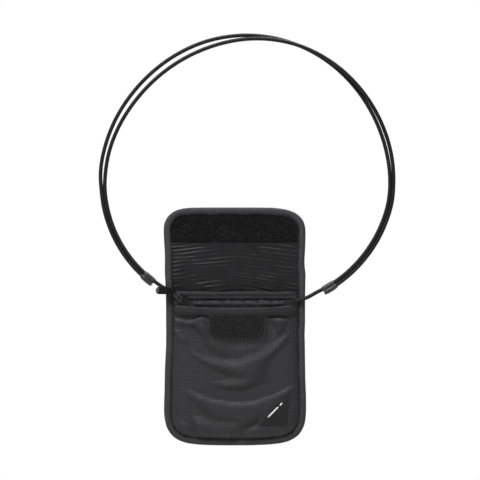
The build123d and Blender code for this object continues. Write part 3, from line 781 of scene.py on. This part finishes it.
def lower_tape_depth(x, z, v, inset):
    """A soft roll with slanted ends, gathered along its length."""
    gathers = (np.sin(x / 2.1 + 1.3 * np.sin(x / 7.0) + 0.5 * np.sin(z / 2.0))
               + 0.6 * np.sin(x / 1.13 + 2.0))
    slant = 0.5 * (z - 62)
    inside = ease((x + 46.0 + slant) / 3.5) * ease((54.0 + slant - x) / 3.5)
    t = np.clip((z - 59.4) / (LOWER_TAPE_TOP - 59.4), 0, 1)
    roll = 1 - np.abs(2 * t ** 0.85 - 1) ** 3
    swell = 1.75 * roll + 0.42 * gathers * roll + 0.3 * roll * noise(x, z, 9, 61)
    base = pillow(inset, 8.25, edge=3.6, soft=3.0) - 0.75
    return base + inside * swell + (1 - inside) * 0.35 * roll


def divider():
    """The cloth just behind the hem and the zip."""
    x, z = panel(-84.0, 73.2, 5.2, cols=70, rows=90)
    depth = pillow(inset_at(x, z), 6.9, edge=2.4)
    cloth = solid_sheet("pocket_divider_cloth", x, depth, z, 0.4, MATERIALS["lining"])
    attach(cloth, "lining", "pouch", "pocket_divider")


hem, HEM_X, HEM_DEPTH = strip(
    "front_pocket_hem_cloth", hem_top, lambda x: hem_top(x) - HEM_HEIGHT, hem_depth,
    thickness=1.1, material=MATERIALS["hem"], rows=HEM_ROWS)
attach(hem, "nylon", "pouch", "front_pocket_hem")

mouth = strip("mouth_hem_cloth", lambda x: 73.9 + 0.25 * np.sin(x / 9.0), level(69.6),
              mouth_depth, thickness=0.7, material=MATERIALS["hem"])[0]
attach(mouth, "nylon", "pouch", "mouth_hem")

divider()

for node, top, bottom, depth_at in (
        ("zip_tape_upper", 72.5, 66.7, upper_tape_depth),
        ("zip_tape_lower", LOWER_TAPE_TOP, 54.0, lower_tape_depth)):
    tape = strip(node + "_cloth", level(top), level(bottom), depth_at,
                 material=MATERIALS["tape"], **TAPE)[0]
    attach(tape, "zip_tape", "pouch", node)


# ---------------------------------------------------------------- zip coils
def zip_coil(node, centre_z, inner_z):
    """A coil lying along the zip, its loops reaching to inner_z."""
    x_start, x_end, pitch = -60.4, 65.0, 1.3
    turns = int((x_end - x_start) / pitch)
    t = np.linspace(0, 2 * np.pi * turns, turns * 14)
    path = np.stack([x_start + t / (2 * np.pi) * pitch, 8.95 + 0.38 * np.sin(t),
                     centre_z + (inner_z - centre_z) * np.cos(t)], 1)
    coil = tube(node + "_loops", path, 0.30, 6, MATERIALS["coil"])
    attach(coil, "zip_coil", "pouch", node)


zip_coil("zip_coil_upper", centre_z=67.3, inner_z=66.75)
zip_coil("zip_coil_lower", centre_z=64.5, inner_z=65.05)

# ---------------------------------------------------------------- edge binding
# offset from the outline (negative is inward), rise over the binding's thickness
BINDING_PROFILE = [(-7.5, -0.12), (-7.1, 0.14), (-6.4, -0.50), (-5.6, 0.20), (-4.2, 0.32),
                   (-2.6, 0.22), (-1.1, -0.15), (-0.35, -0.9)]
SEAM_INSET = 6.9


def edge_thickness(z):
    """Thickness of the bound edge, less on the flap."""
    return 4.45 + (3.5 - 4.45) * ease((z - FOLD_Z + 6) / 12)


def edge_binding():
    """The folded tape all round: front face, outer edge, rear face, then its inside."""
    run = OUTLINE_RUN[:-1]
    thick = edge_thickness(OUTLINE[:, 1])
    wave = 0.18 * np.sin(run / 9.0 + 1.2 * np.sin(run / 23.0)) + 0.1 * np.sin(run / 3.7)
    front_wander = 0.22 * np.sin(run / 5.1)
    rear_wander = 0.22 * np.sin(run / 4.3 + 1)
    section = []                  # offset and depth at every point of the outline
    for offset, rise in BINDING_PROFILE:
        section.append((offset + (front_wander if offset < -6 else 0),
                        thick + rise + (wave * 0.5 if offset < -1.5 else 0)))
    section.append((0.0, thick / 2))
    for offset, rise in BINDING_PROFILE[::-1]:
        section.append((offset + (rear_wander if offset < -6 else 0),
                        -rise - (wave * 0.4 if offset < -1.5 else 0)))
    section += [(-6.6, 0.62), (-3.0, 0.72), (-0.9, 1.0), (-0.7, thick / 2),
                (-0.9, thick - 1.0), (-3.0, thick - 0.72), (-6.6, thick - 0.72)]
    verts = np.stack([
        np.stack([OUTLINE[:, 0] + OUTWARD[:, 0] * offset, depth + 0.0 * run,
                  OUTLINE[:, 1] + OUTWARD[:, 1] * offset], -1)
        for offset, depth in section], 1)
    n, m = verts.shape[:2]
    uvs = [(s * MM, v) for s in run for v in np.linspace(0, 1, m)]
    faces = []
    for k in range(n):
        for i in range(m):
            here, after = k * m, (k + 1) % n * m
            j = (i + 1) % m
            faces.append((here + i, here + j, after + j, after + i))
    tape = make("edge_binding_tape", verts, faces, MATERIALS["binding"], uvs=uvs,
                recalculate=True)
    attach_over_fold(tape, "binding", "body_binding", "flap_binding")


def binding_stitches():
    """Seam stitches on both faces of the binding."""
    paths = []
    n = len(OUTLINE)
    for run in np.arange(0, OUTLINE_RUN[-1], 3.3):
        k = int(np.searchsorted(OUTLINE_RUN, run)) % n
        k_end = int(np.searchsorted(OUTLINE_RUN, run + 1.9)) % n
        a = OUTLINE[k] - OUTWARD[k] * SEAM_INSET
        b = OUTLINE[k_end] - OUTWARD[k_end] * SEAM_INSET
        front = edge_thickness(OUTLINE[k][1]) - 0.08
        for depth, side in ((front, 1), (0.22, -1)):
            start = np.array((a[0], depth, a[1]))
            end = np.array((b[0], depth, b[1]))
            paths.append(stitch(lambda part: start * (1 - part) + end * part,
                                shoulder=0.25, sink=0.1 * side, rise=0.12 * side))
    seam = small_tubes("binding_stitches", paths, 0.52, 6, MATERIALS["thread"])
    attach_over_fold(seam, "thread", "body_seam_thread", "flap_seam_thread")


def hem_stitches():
    """Two rows of stitches along the hem's lower edge."""
    paths = []
    for drop, first in ((6.2, -66), (7.6, -65)):
        depths = HEM_DEPTH[int((1 - drop / HEM_HEIGHT) * (HEM_ROWS - 1))]

        def on_hem(x):
            return np.array((x, np.interp(x, HEM_X, depths), hem_top(x) - drop))

        for x in np.arange(first, 66, 2.9):
            paths.append(stitch(lambda part: on_hem(x + 2.0 * part),
                                shoulder=0.25, sink=0.15, rise=0.10))
    stitches = small_tubes("hem_stitches", paths, 0.2, 5, MATERIALS["thread"])
    attach(stitches, "thread", "pouch")


edge_binding()
binding_stitches()
hem_stitches()


# ---------------------------------------------------------------- cloths over the fold
def lining():
    """The lining, with long nearly level gathers running in from each side."""
    x, z = panel(60.0, 160.0, 4.8, cols=150, rows=200)
    inset = inset_at(x, z)
    warp = 3.6 * noise(x * 0.25, z * 0.5, 13, 21, 2) + 0.11 * np.abs(x)
    waves = (np.sin(2 * np.pi * (z + warp) / 4.4)
             + 0.45 * np.sin(2 * np.pi * (z * 1.07 + 1.6 * warp + 2) / 2.6))
    strength = 0.15 + 1.15 * ease(0.42 + noise(x * 0.45, z, 7.5, 22, 2))
    toward_sides = 0.45 + 0.55 * ease((np.abs(x) - 8) / 40)
    wrinkle = 0.30 * waves * strength * toward_sides + 0.10 * noise(x, z, 9, 23)
    depth = 2.55 + wrinkle * ease((inset - 6.5) / 3) * ease((126.5 - z) / 3)
    sheet = solid_sheet("lining_cloth_sheet", x, depth, z, 0.4, MATERIALS["lining"])
    attach_over_fold(sheet, "lining", "back_lining", "flap_lining")


def back_cloth():
    """One cloth for the back of the pouch and the outside of the flap."""
    thickness = 0.45
    x, z = panel(-85.6, 159.0, 4.6, cols=130, rows=210)
    inset = inset_at(x, z)
    sag = z + 0.0022 * x ** 2
    mix = 1.5 * noise(x * 0.33, sag, 15, 31, 2) + 0.35 * noise(x, z, 11, 32, 2)
    soft = 0.5 + 0.5 * np.clip(mix, -1, 1)
    gathers = np.exp(-((inset - 10) / 3.0) ** 2) * np.sin(np.arctan2(z - 36, x) * 60)
    depth = (0.75 - 0.75 * ease((inset - 7) / 5)
             + (1.45 - 0.75 * ease((z - 70) / 12)) * soft * ease((inset - 7.5) / 7)
             + 0.25 * gathers)
    depth = np.maximum(depth, 0.0) + thickness
    cloth = solid_sheet("back_cloth", x, depth, z, thickness, MATERIALS["nylon_back"])
    attach_over_fold(cloth, "nylon", "back_panel", "flap_outer")


lining()
back_cloth()


# ---------------------------------------------------------------- loop field on the flap
def loop_field():
    bottom, inset_edge = 126.4, 6.5
    x, z = panel(bottom, 157.6, inset_edge, cols=200, rows=50)
    inset = inset_at(x, z)
    depth = 3.15 + 0.22 * noise(x, z, 2.2, 41, 3) + 0.15 * rng.uniform(-1, 1, x.shape)
    depth -= (0.5 * (1 - ease((z - bottom) / 1.2))
              + 0.4 * (1 - ease((inset - inset_edge) / 1.2)))
    pile = solid_sheet("loop_field_pile", x, depth, z, 0.9, MATERIALS["loop"])
    attach(pile, "loop_pile", "flap", "loop_field")


def loop_fibres():
    paths = []
    for _ in range(3200):
        z = rng.uniform(127.2, 156.4)
        left, right = span([z], 7.4)
        x = rng.uniform(left[0], right[0])
        angle = rng.uniform(0, 2 * math.pi)
        reach = rng.uniform(0.35, 0.8)
        dx, dz = math.cos(angle) * reach, math.sin(angle) * reach
        stations = ((0, 3.0), (0.3, 3.75), (1, 3.85), (1.4, 3.1))     # share of reach, depth
        paths.append([(x + dx * part, depth, z + dz * part) for part, depth in stations])
    fibres = small_tubes("loop_field_fibres", paths, 0.07, 3, MATERIALS["loop"])
    attach(fibres, "loop_pile", "flap")


loop_field()
loop_fibres()

# ---------------------------------------------------------------- hook patch
# scale of the outline, rise over the patch's base
HOOK_RINGS = [(1.0, 0.05), (1.0, 0.75), (0.985, 0.95), (0.955, 1.0), (0.93, 0.85),
              (0.90, 0.82), (0.5, 0.82)]


def hook_outline(steps=8):
    """Square upper corners slightly clipped, rounded lower corners."""
    half_x, half_z, radius, clip = 28.5, 13.1, 9.5, 0.8
    points = [(-half_x, half_z - clip), (-half_x + clip, half_z), (half_x - clip, half_z),
              (half_x, half_z - clip)]
    for side, start, end in ((1, 0, -90), (-1, -90, -180)):
        for angle in np.radians(np.linspace(start, end, steps)):
            points.append((side * (half_x - radius) + radius * math.cos(angle),
                           -half_z + radius + radius * math.sin(angle)))
    return np.array(points) + HOOK_CENTRE


HOOK_OUTLINE = hook_outline()
HOOK_MEAN = HOOK_OUTLINE.mean(0)


def hook_patch():
    verts = []
    for scale, rise in HOOK_RINGS:
        # the rim is equally wide on all sides, so z shrinks faster there
        scale_z = 1 - (1 - scale) * 2.1 if scale > 0.6 else scale
        ring = HOOK_MEAN + (HOOK_OUTLINE - HOOK_MEAN) * (scale, scale_z)
        verts += [(x, HOOK_BASE_DEPTH + rise, z) for x, z in ring]
    n, rings = len(HOOK_OUTLINE), len(HOOK_RINGS)
    verts.append((HOOK_MEAN[0], HOOK_BASE_DEPTH + HOOK_RINGS[-1][1], HOOK_MEAN[1]))
    faces = grid_faces(rings, n, wrap=True)
    # close the middle with triangles from the innermost ring to the centre point
    for i in range(n):
        last = (rings - 1) * n
        faces.append((last + i, last + (i + 1) % n, rings * n))
    faces.append(tuple(range(n))[::-1])
    patch = make("hook_patch_tape", verts, faces, MATERIALS["hook"], smooth=False)
    attach(patch, "hook_tape", "pouch", "hook_patch")


def hook_rows():
    """Small hooks in staggered rows, left out of the rounded corners."""
    paths = []
    for row, z in enumerate(np.arange(26.8, 49.2, 1.35)):
        for x in np.arange(-24.6 + (row % 2) * 0.7, 27.6, 1.4):
            if z < 34 and abs(x - HOOK_CENTRE[0]) > 27.0 - (34 - z) ** 1.35 * 0.45:
                continue
            paths.append([(x, 10.9, z), (x, 11.45, z + 0.05), (x + 0.12, 11.68, z + 0.35),
                          (x + 0.1, 11.45, z + 0.65)])
    hooks = small_tubes("hook_patch_hooks", paths, 0.14, 4, MATERIALS["hook"])
    attach(hooks, "hook_tape", "pouch")


def hook_stitches():
    line = HOOK_MEAN + (HOOK_OUTLINE - HOOK_MEAN) * (0.942, 0.885)
    line = np.vstack([line, line[:1]])
    run = run_lengths(line)
    depth = HOOK_BASE_DEPTH + 0.95

    def on_line(at):
        return np.array((np.interp(at, run, line[:, 0]), depth, np.interp(at, run, line[:, 1])))

    paths = [stitch(lambda part: on_line(start + part * 1.9), shoulder=0.3, sink=0.1, rise=0.16)
             for start in np.arange(0, run[-1] - 2.2, 2.6)]
    stitches = small_tubes("hook_patch_stitches", paths, 0.24, 5, MATERIALS["binding"])
    attach(stitches, "thread", "pouch")


hook_patch()
hook_rows()
hook_stitches()


# ---------------------------------------------------------------- corner label
def corner_label():
    """A triangular film that follows the pocket cloth in its lower right corner."""
    right, left, low, high = 56.4, 24.7, -68.2, -36.4
    lift, n = 0.55, 26
    corner = np.array((right, low))
    upward = np.array((right, high)) - corner
    leftward = np.array((left, low)) - corner
    verts, index, faces = [], {}, []
    for i in range(n + 1):
        for j in range(n + 1 - i):
            x, z = corner + upward * (i / n) + leftward * (j / n)
            index[i, j] = len(verts)
            verts.append((x, pocket_depth(x, z) + lift, z))
    for i in range(n):
        for j in range(n - i):
            faces.append((index[i, j], index[i + 1, j], index[i, j + 1]))
            if i + j < n - 1:
                faces.append((index[i + 1, j], index[i + 1, j + 1], index[i, j + 1]))
    rim = ([index[i, 0] for i in range(n + 1)] + [index[n - j, j] for j in range(1, n + 1)]
           + [index[0, n - j] for j in range(1, n)])
    base, m = len(verts), len(rim)
    for i in rim:
        x, depth, z = verts[i]
        verts.append((x, depth - lift - 0.05, z))
    for k in range(m):
        after = (k + 1) % m
        faces.append((rim[k], rim[after], base + after, base + k))
    faces.append(tuple(base + k for k in range(m))[::-1])
    label = make("corner_label_film", verts, faces, MATERIALS["label"], smooth=False,
                 recalculate=True)
    for face in label.data.polygons:
        face.use_smooth = abs(face.normal.y) > 0.5
    attach(label, "label", "pouch", "corner_label")


def label_dashes():
    """A long and a short dash on one rising diagonal."""
    centre_x, centre_z = 42.2, -52.2
    slope = math.radians(45)
    paths = []
    for start, end in ((-10.5, 5.5), (7.5, 11.0)):
        path = []
        for t in np.linspace(start, end, 8):
            x = centre_x + math.cos(slope) * t
            z = centre_z + math.sin(slope) * t
            path.append((x, pocket_depth(x, z) + 0.62, z))
        paths.append(path)
    marks = small_tubes("corner_label_dashes", paths, 0.85, 6, MATERIALS["mark"])
    attach(marks, "label", "pouch")


corner_label()
label_dashes()

# ---------------------------------------------------------------- neck cords
CORD_DEPTH = 6.6
LEFT_CENTRE, RIGHT_CENTRE = (-5.88, 191.2), (27.36, 198.91)    # x, z of the side arcs
# radii of the two barrels of each adjuster about those centres
LEFT_INNER, LEFT_OUTER = 132.88, 136.98
RIGHT_INNER, RIGHT_OUTER = 139.06, 143.1

# x, z of each cord over the top of the loop, left to right
CORD_A_TOP = [
    (-138.31, 195.84), (-132.96, 226.44), (-120.92, 254.81), (-103.82, 280.07),
    (-82.75, 301.95), (-58.05, 319.85), (-30.21, 333.14), (0.13, 341.11), (32.02, 342.72),
    (63.92, 336.99), (93.83, 323.76), (120.05, 303.92), (141.5, 278.89), (157.36, 249.91),
    (166.7, 218.15), (168.64, 185.12)]
CORD_B_TOP = [
    (-143.19, 196.01), (-138.48, 227.82), (-126.93, 257.74), (-109.67, 284.64),
    (-87.71, 307.85), (-61.66, 326.63), (-32.14, 339.87), (-0.25, 346.47), (32.46, 345.79),
    (64.21, 337.78), (93.32, 322.94), (118.42, 302.24), (138.53, 276.89), (153.19, 248.23),
    (162.28, 217.37), (164.89, 185.25)]


def arc(centre, radius, degrees):
    angle = math.radians(degrees)
    return (centre[0] + radius * math.cos(angle), CORD_DEPTH,
            centre[1] + radius * math.sin(angle))


def arcs(centre, radius, angles):
    return [arc(centre, radius, a) for a in angles]


def over_top(points, side):
    """The top of a cord, eased forward (+1) or back (-1) where the cords cross."""
    path = []
    for i, (x, z) in enumerate(points):
        angle = 178.0 - 12.0 * i
        shift = 1.85 * float(ease((110 - angle) / 24)) * float(ease((angle - 16) / 26))
        path.append((x, CORD_DEPTH + side * shift, z))
    return path


def spline(points, step=0.55):
    """Natural cubic curve through the points, resampled evenly."""
    points = np.asarray(points, float)
    run = run_lengths(points)
    n = len(points)
    gap = np.diff(run)
    matrix = np.zeros((n, n))
    rhs = np.zeros((n, 3))
    matrix[0, 0] = matrix[-1, -1] = 1
    for i in range(1, n - 1):
        matrix[i, i - 1:i + 2] = gap[i - 1], 2 * (gap[i - 1] + gap[i]), gap[i]
        rhs[i] = 6 * ((points[i + 1] - points[i]) / gap[i]
                      - (points[i] - points[i - 1]) / gap[i - 1])
    bend = np.linalg.solve(matrix, rhs)
    at = np.linspace(0, run[-1], int(run[-1] / step))
    k = np.clip(np.searchsorted(run, at) - 1, 0, n - 2)
    before = (run[k + 1] - at)[:, None]
    after = (at - run[k])[:, None]
    h = gap[k][:, None]
    return (bend[k] * before ** 3 / (6 * h) + bend[k + 1] * after ** 3 / (6 * h)
            + (points[k] / h - bend[k] * h / 6) * before
            + (points[k + 1] / h - bend[k + 1] * h / 6) * after)


def braid(length, angle):
    """Radius of a round braid: two sets of helical strands over and under."""
    turn = 2 * math.pi / 7.2
    one_way = np.cos(4 * angle + 4 * turn * length)
    other_way = np.cos(4 * angle - 4 * turn * length)
    over = np.sign(np.sin(4 * angle) * np.sin(4 * turn * length))
    strand = np.maximum(one_way + 0.25 * over, other_way - 0.25 * over)
    return 1.97 + 0.16 * np.clip(strand, -0.2, 1.2)


def cord(name, path, loop_start, loop_end, nodes):
    """One cord in three lengths: sewn end, loop, and the end held by the far adjuster."""
    run = run_lengths(path)
    third, half = len(path) // 3, len(path) // 2
    first = int(np.argmin(np.linalg.norm(path[:third] - np.array(loop_start), axis=1)))
    last = half + int(np.argmin(np.linalg.norm(path[half:] - np.array(loop_end), axis=1)))
    sewn, loop, held = (
        tube(name + suffix, path[i:j], braid, 24, MATERIALS["cord"], start=run[i])
        for suffix, i, j in (("_sewn_end", 0, first + 1), ("_loop", first, last + 1),
                             ("_held_end", last, len(path))))
    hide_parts(*nodes)
    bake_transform(sewn)
    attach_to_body(loop, "neck_loop")
    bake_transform(held)


# cord A is sewn at the left, cord B at the right
path_a = spline(
    [(-60.0, 4.6, 73.0), (-64.5, 5.9, 74.0), (-70.0, 6.65, 75.6)]
    + arcs(LEFT_CENTRE, LEFT_INNER, (237.75, 231, 224, 217, 210, 203, 196, 189, 183))
    + over_top(CORD_A_TOP, 1)
    + arcs(RIGHT_CENTRE, 142.85, (-13, -20, -27, -34, -41, -48, -55, -60.4)))
path_b = spline(
    [(60.5, 4.4, 63.6), (65.0, 5.8, 64.3), (70.5, 6.65, 65.6), (77.0, CORD_DEPTH, 67.8)]
    + arcs(RIGHT_CENTRE, RIGHT_INNER, (-64.5, -61.5, -56, -49, -42, -35, -28, -21, -14))
    + over_top(CORD_B_TOP, -1)[::-1]
    + arcs(LEFT_CENTRE, 136.72, (184, 190, 197, 204, 211, 218, 225, 231.6)))

cord("cord_a", path_a,
     loop_start=arc(LEFT_CENTRE, LEFT_INNER, 232.0),
     loop_end=arc(RIGHT_CENTRE, RIGHT_OUTER, 5.0),
     nodes=("cord_a", "cord_end_left"))
cord("cord_b", path_b,
     loop_start=arc(RIGHT_CENTRE, RIGHT_INNER, -61.0),
     loop_end=arc(LEFT_CENTRE, LEFT_OUTER, 166.0),
     nodes=("cord_b", "cord_end_right"))

# ---------------------------------------------------------------- zip slider and pull
for node, key in (("zip_slider_body", "metal"), ("pull_link", "steel"), ("pull_cord", "cord"),
                  ("pull_tab", "grip"), ("zip_end_stops", "coil")):
    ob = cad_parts[node]
    for material_slot in ob.material_slots:
        material_slot.material = MATERIALS[key]
    if not ob.material_slots:     # a CAD piece may come without a slot
        ob.data.materials.append(MATERIALS[key])


# ---------------------------------------------------------------- cord adjusters
def adjuster(name, centre, inner, outer, middle):
    """Two moulded barrels side by side in one shell, bored for the cords."""
    half_angle = 3.25 - 0.25
    half_gap = (outer - inner) / 2
    mid_radius = (outer + inner) / 2
    sides, rings = 128, 72
    angles = np.linspace(middle - half_angle, middle + half_angle, rings)
    length = math.radians(angles[-1] - angles[0]) * mid_radius
    path = np.array(arcs(centre, mid_radius, angles))
    outward = (np.array(arcs(centre, outer, angles)) - path) / half_gap
    forward = np.tile((0.0, 1.0, 0.0), (rings, 1))
    along = np.linspace(0, length, rings)[:, None]
    from_end = np.minimum(along, length - along)
    angle = circle_angles(sides)[None, :]

    def both_barrels(radius):
        """Distance from the middle to the joined outline of two circles."""
        return (half_gap * np.abs(np.cos(angle))
                + np.sqrt(radius ** 2 - (half_gap * np.sin(angle)) ** 2))

    def ring_points(radii):
        spoke = (np.cos(angle)[..., None] * outward[:, None, :]
                 + np.sin(angle)[..., None] * forward[:, None, :])
        return (path[:, None, :] + radii[..., None] * spoke).reshape(-1, 3)

    nominal = both_barrels(2.9)
    barrel_angle = np.arctan2(nominal * np.sin(angle),
                              nominal * np.abs(np.cos(angle)) - half_gap)
    # rounded ends, a slow swell, a groove near each end, then flutes along the barrels
    end_round = np.sqrt(np.clip(1 - (1 - np.clip(from_end / 1.1, 0, 1)) ** 2, 0, 1))
    radius = (2.42 + 0.36 * end_round + 0.26 * ease(from_end / 4.5)
              - 0.17 * np.exp(-((from_end - 1.9) / 0.32) ** 2))
    flutes = (0.5 - 0.5 * np.cos(barrel_angle * 7)) ** 3
    radius = radius - 0.10 * flutes * ease((from_end - 2.3) / 0.7)
    bore = 2.27 + 0 * along

    verts = np.vstack([ring_points(both_barrels(radius)), ring_points(both_barrels(bore))])
    m = rings * sides
    last = m - sides
    faces = (grid_faces(rings, sides, wrap=True)
             + grid_faces(rings, sides, flip=True, wrap=True, base=m))
    for i in range(sides):
        j = (i + 1) % sides
        faces.append((j, i, m + i, m + j))
        faces.append((last + i, last + j, m + last + j, m + last + i))
    shell = make(name + "_barrels", verts, faces, MATERIALS["plastic"], recalculate=True)
    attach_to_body(shell, name)
    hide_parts(name)


adjuster("left_adjuster", LEFT_CENTRE, LEFT_INNER, LEFT_OUTER, middle=230.0)
adjuster("right_adjuster", RIGHT_CENTRE, RIGHT_INNER, RIGHT_OUTER, middle=-58.8)


# ---------------------------------------------------------------- details of the pull's grip
def pull_tab_details():
    # the ribs' lighter colour is a painted highlight on the grip
    paths = [[(x, 11.45, 72.9), (x, 11.68, 73.6), (x, 11.68, 77.0), (x, 11.45, 77.7)]
             for x in np.arange(-80.6, -68.0, 2.1)]
    ribs = small_tubes("pull_tab_ribs", paths, 0.30, 6, MATERIALS["grip_rib"])
    attach(ribs, "moulded", "zip_pull")
    # the eyelet's light grey colour is a painted glint on a steel ring
    oval = [(-82.3 + 0.95 * math.cos(t), 11.66, 75.6 + 2.1 * math.sin(t))
            for t in np.linspace(0, 2 * np.pi, 25)]
    eyelet = tube("pull_tab_eyelet", oval, 0.34, 8, MATERIALS["eyelet"], cap=False)
    attach(eyelet, "slider_metal", "zip_pull")


pull_tab_details()

# ---------------------------------------------------------------- stage (metres)
WHITE = (1, 1, 1, 1)
scene = bpy.context.scene
scene.view_settings.view_transform = "Standard"


def studio_world():
    """White to the camera, dim as a light."""
    world = bpy.data.worlds.new("studio")
    scene.world = world
    tree = fresh_tree(world)
    output = add_node(tree, "OutputWorld")
    dim = add_node(tree, "Background", Color=WHITE, Strength=0.09)
    bright = add_node(tree, "Background", Color=WHITE, Strength=1.0)
    rays = add_node(tree, "LightPath")
    mix = add_node(tree, "MixShader")
    tree.links.new(rays.outputs["Is Camera Ray"], mix.inputs[0])
    tree.links.new(dim.outputs[0], mix.inputs[1])
    tree.links.new(bright.outputs[0], mix.inputs[2])
    tree.links.new(mix.outputs[0], output.inputs[0])


def pale_floor():
    """A disc that takes some shadow at its middle and glows white farther out."""
    bpy.ops.mesh.primitive_circle_add(vertices=96, radius=1.2, fill_type="NGON",
                                      location=(0, 0, -0.19))
    floor = bpy.context.object
    floor.name = "floor"
    material = bpy.data.materials.new("floor_pale")
    tree = fresh_tree(material)
    output = add_node(tree, "OutputMaterial")
    mix = add_node(tree, "MixShader")
    glow = add_node(tree, "Emission", Color=WHITE, Strength=1.0)
    matt = add_node(tree, "BsdfDiffuse", Color=(0.86, 0.86, 0.86, 1))
    coords = add_node(tree, "TexCoord")
    distance = add_node(tree, "VectorMath")
    distance.operation = "LENGTH"
    fade = add_node(tree, "MapRange", From_Min=0.04, From_Max=0.20, To_Min=0.62)
    tree.links.new(coords.outputs["Object"], distance.inputs[0])
    tree.links.new(distance.outputs["Value"], fade.inputs["Value"])
    tree.links.new(fade.outputs[0], mix.inputs[0])
    tree.links.new(matt.outputs[0], mix.inputs[1])
    tree.links.new(glow.outputs[0], mix.inputs[2])
    tree.links.new(mix.outputs[0], output.inputs[0])
    floor.data.materials.append(material)


def area_light(name, location, target, size, energy, spread=180, diffuse=True):
    """A square light aimed at a target; spread is in degrees."""
    light = bpy.data.lights.new(name, "AREA")
    light.energy = energy
    light.shape = "RECTANGLE"
    light.size = light.size_y = size
    light.spread = math.radians(spread)
    ob = bpy.data.objects.new(name, light)
    scene.collection.objects.link(ob)
    ob.location = location
    aim = mathutils.Vector(target) - mathutils.Vector(location)
    ob.rotation_euler = aim.to_track_quat("-Z", "Y").to_euler()
    ob.visible_camera = False
    if not diffuse:
        ob.visible_diffuse = False


def camera():
    data = bpy.data.cameras.new("camera")
    data.lens = 100
    data.sensor_width = 36
    data.clip_start = 0.05
    data.clip_end = 20
    ob = bpy.data.objects.new("camera", data)
    scene.collection.objects.link(ob)
    ob.location = (0.0053, -1.426, 0.1289)
    ob.rotation_euler = (math.radians(90), 0, 0)
    scene.camera = ob


studio_world()
pale_floor()
area_light("key", (-0.28, -0.62, 1.25), (0, 0, 0.15), size=0.34, energy=1.55, spread=40)
area_light("rim_left", (-1.0, -0.55, -0.20), (0, 0, 0.08), size=0.5, energy=6, diffuse=False)
area_light("rim_low", (0.35, -0.5, -0.95), (0, 0, 0.08), size=0.5, energy=1.0, diffuse=False)
area_light("fill", (0.95, -0.95, 0.35), (0, 0, 0.06), size=0.8, energy=2.2)
area_light("back_light", (0.35, 0.62, 1.25), (0, 0, 0.03), size=0.45, energy=20)
area_light("back_fill", (-0.8, 1.1, 0.3), (0, 0, 0.06), size=0.9, energy=3)
area_light("top", (0.0, -0.1, 1.3), (0, 0, 0.06), size=0.8, energy=6)
camera()
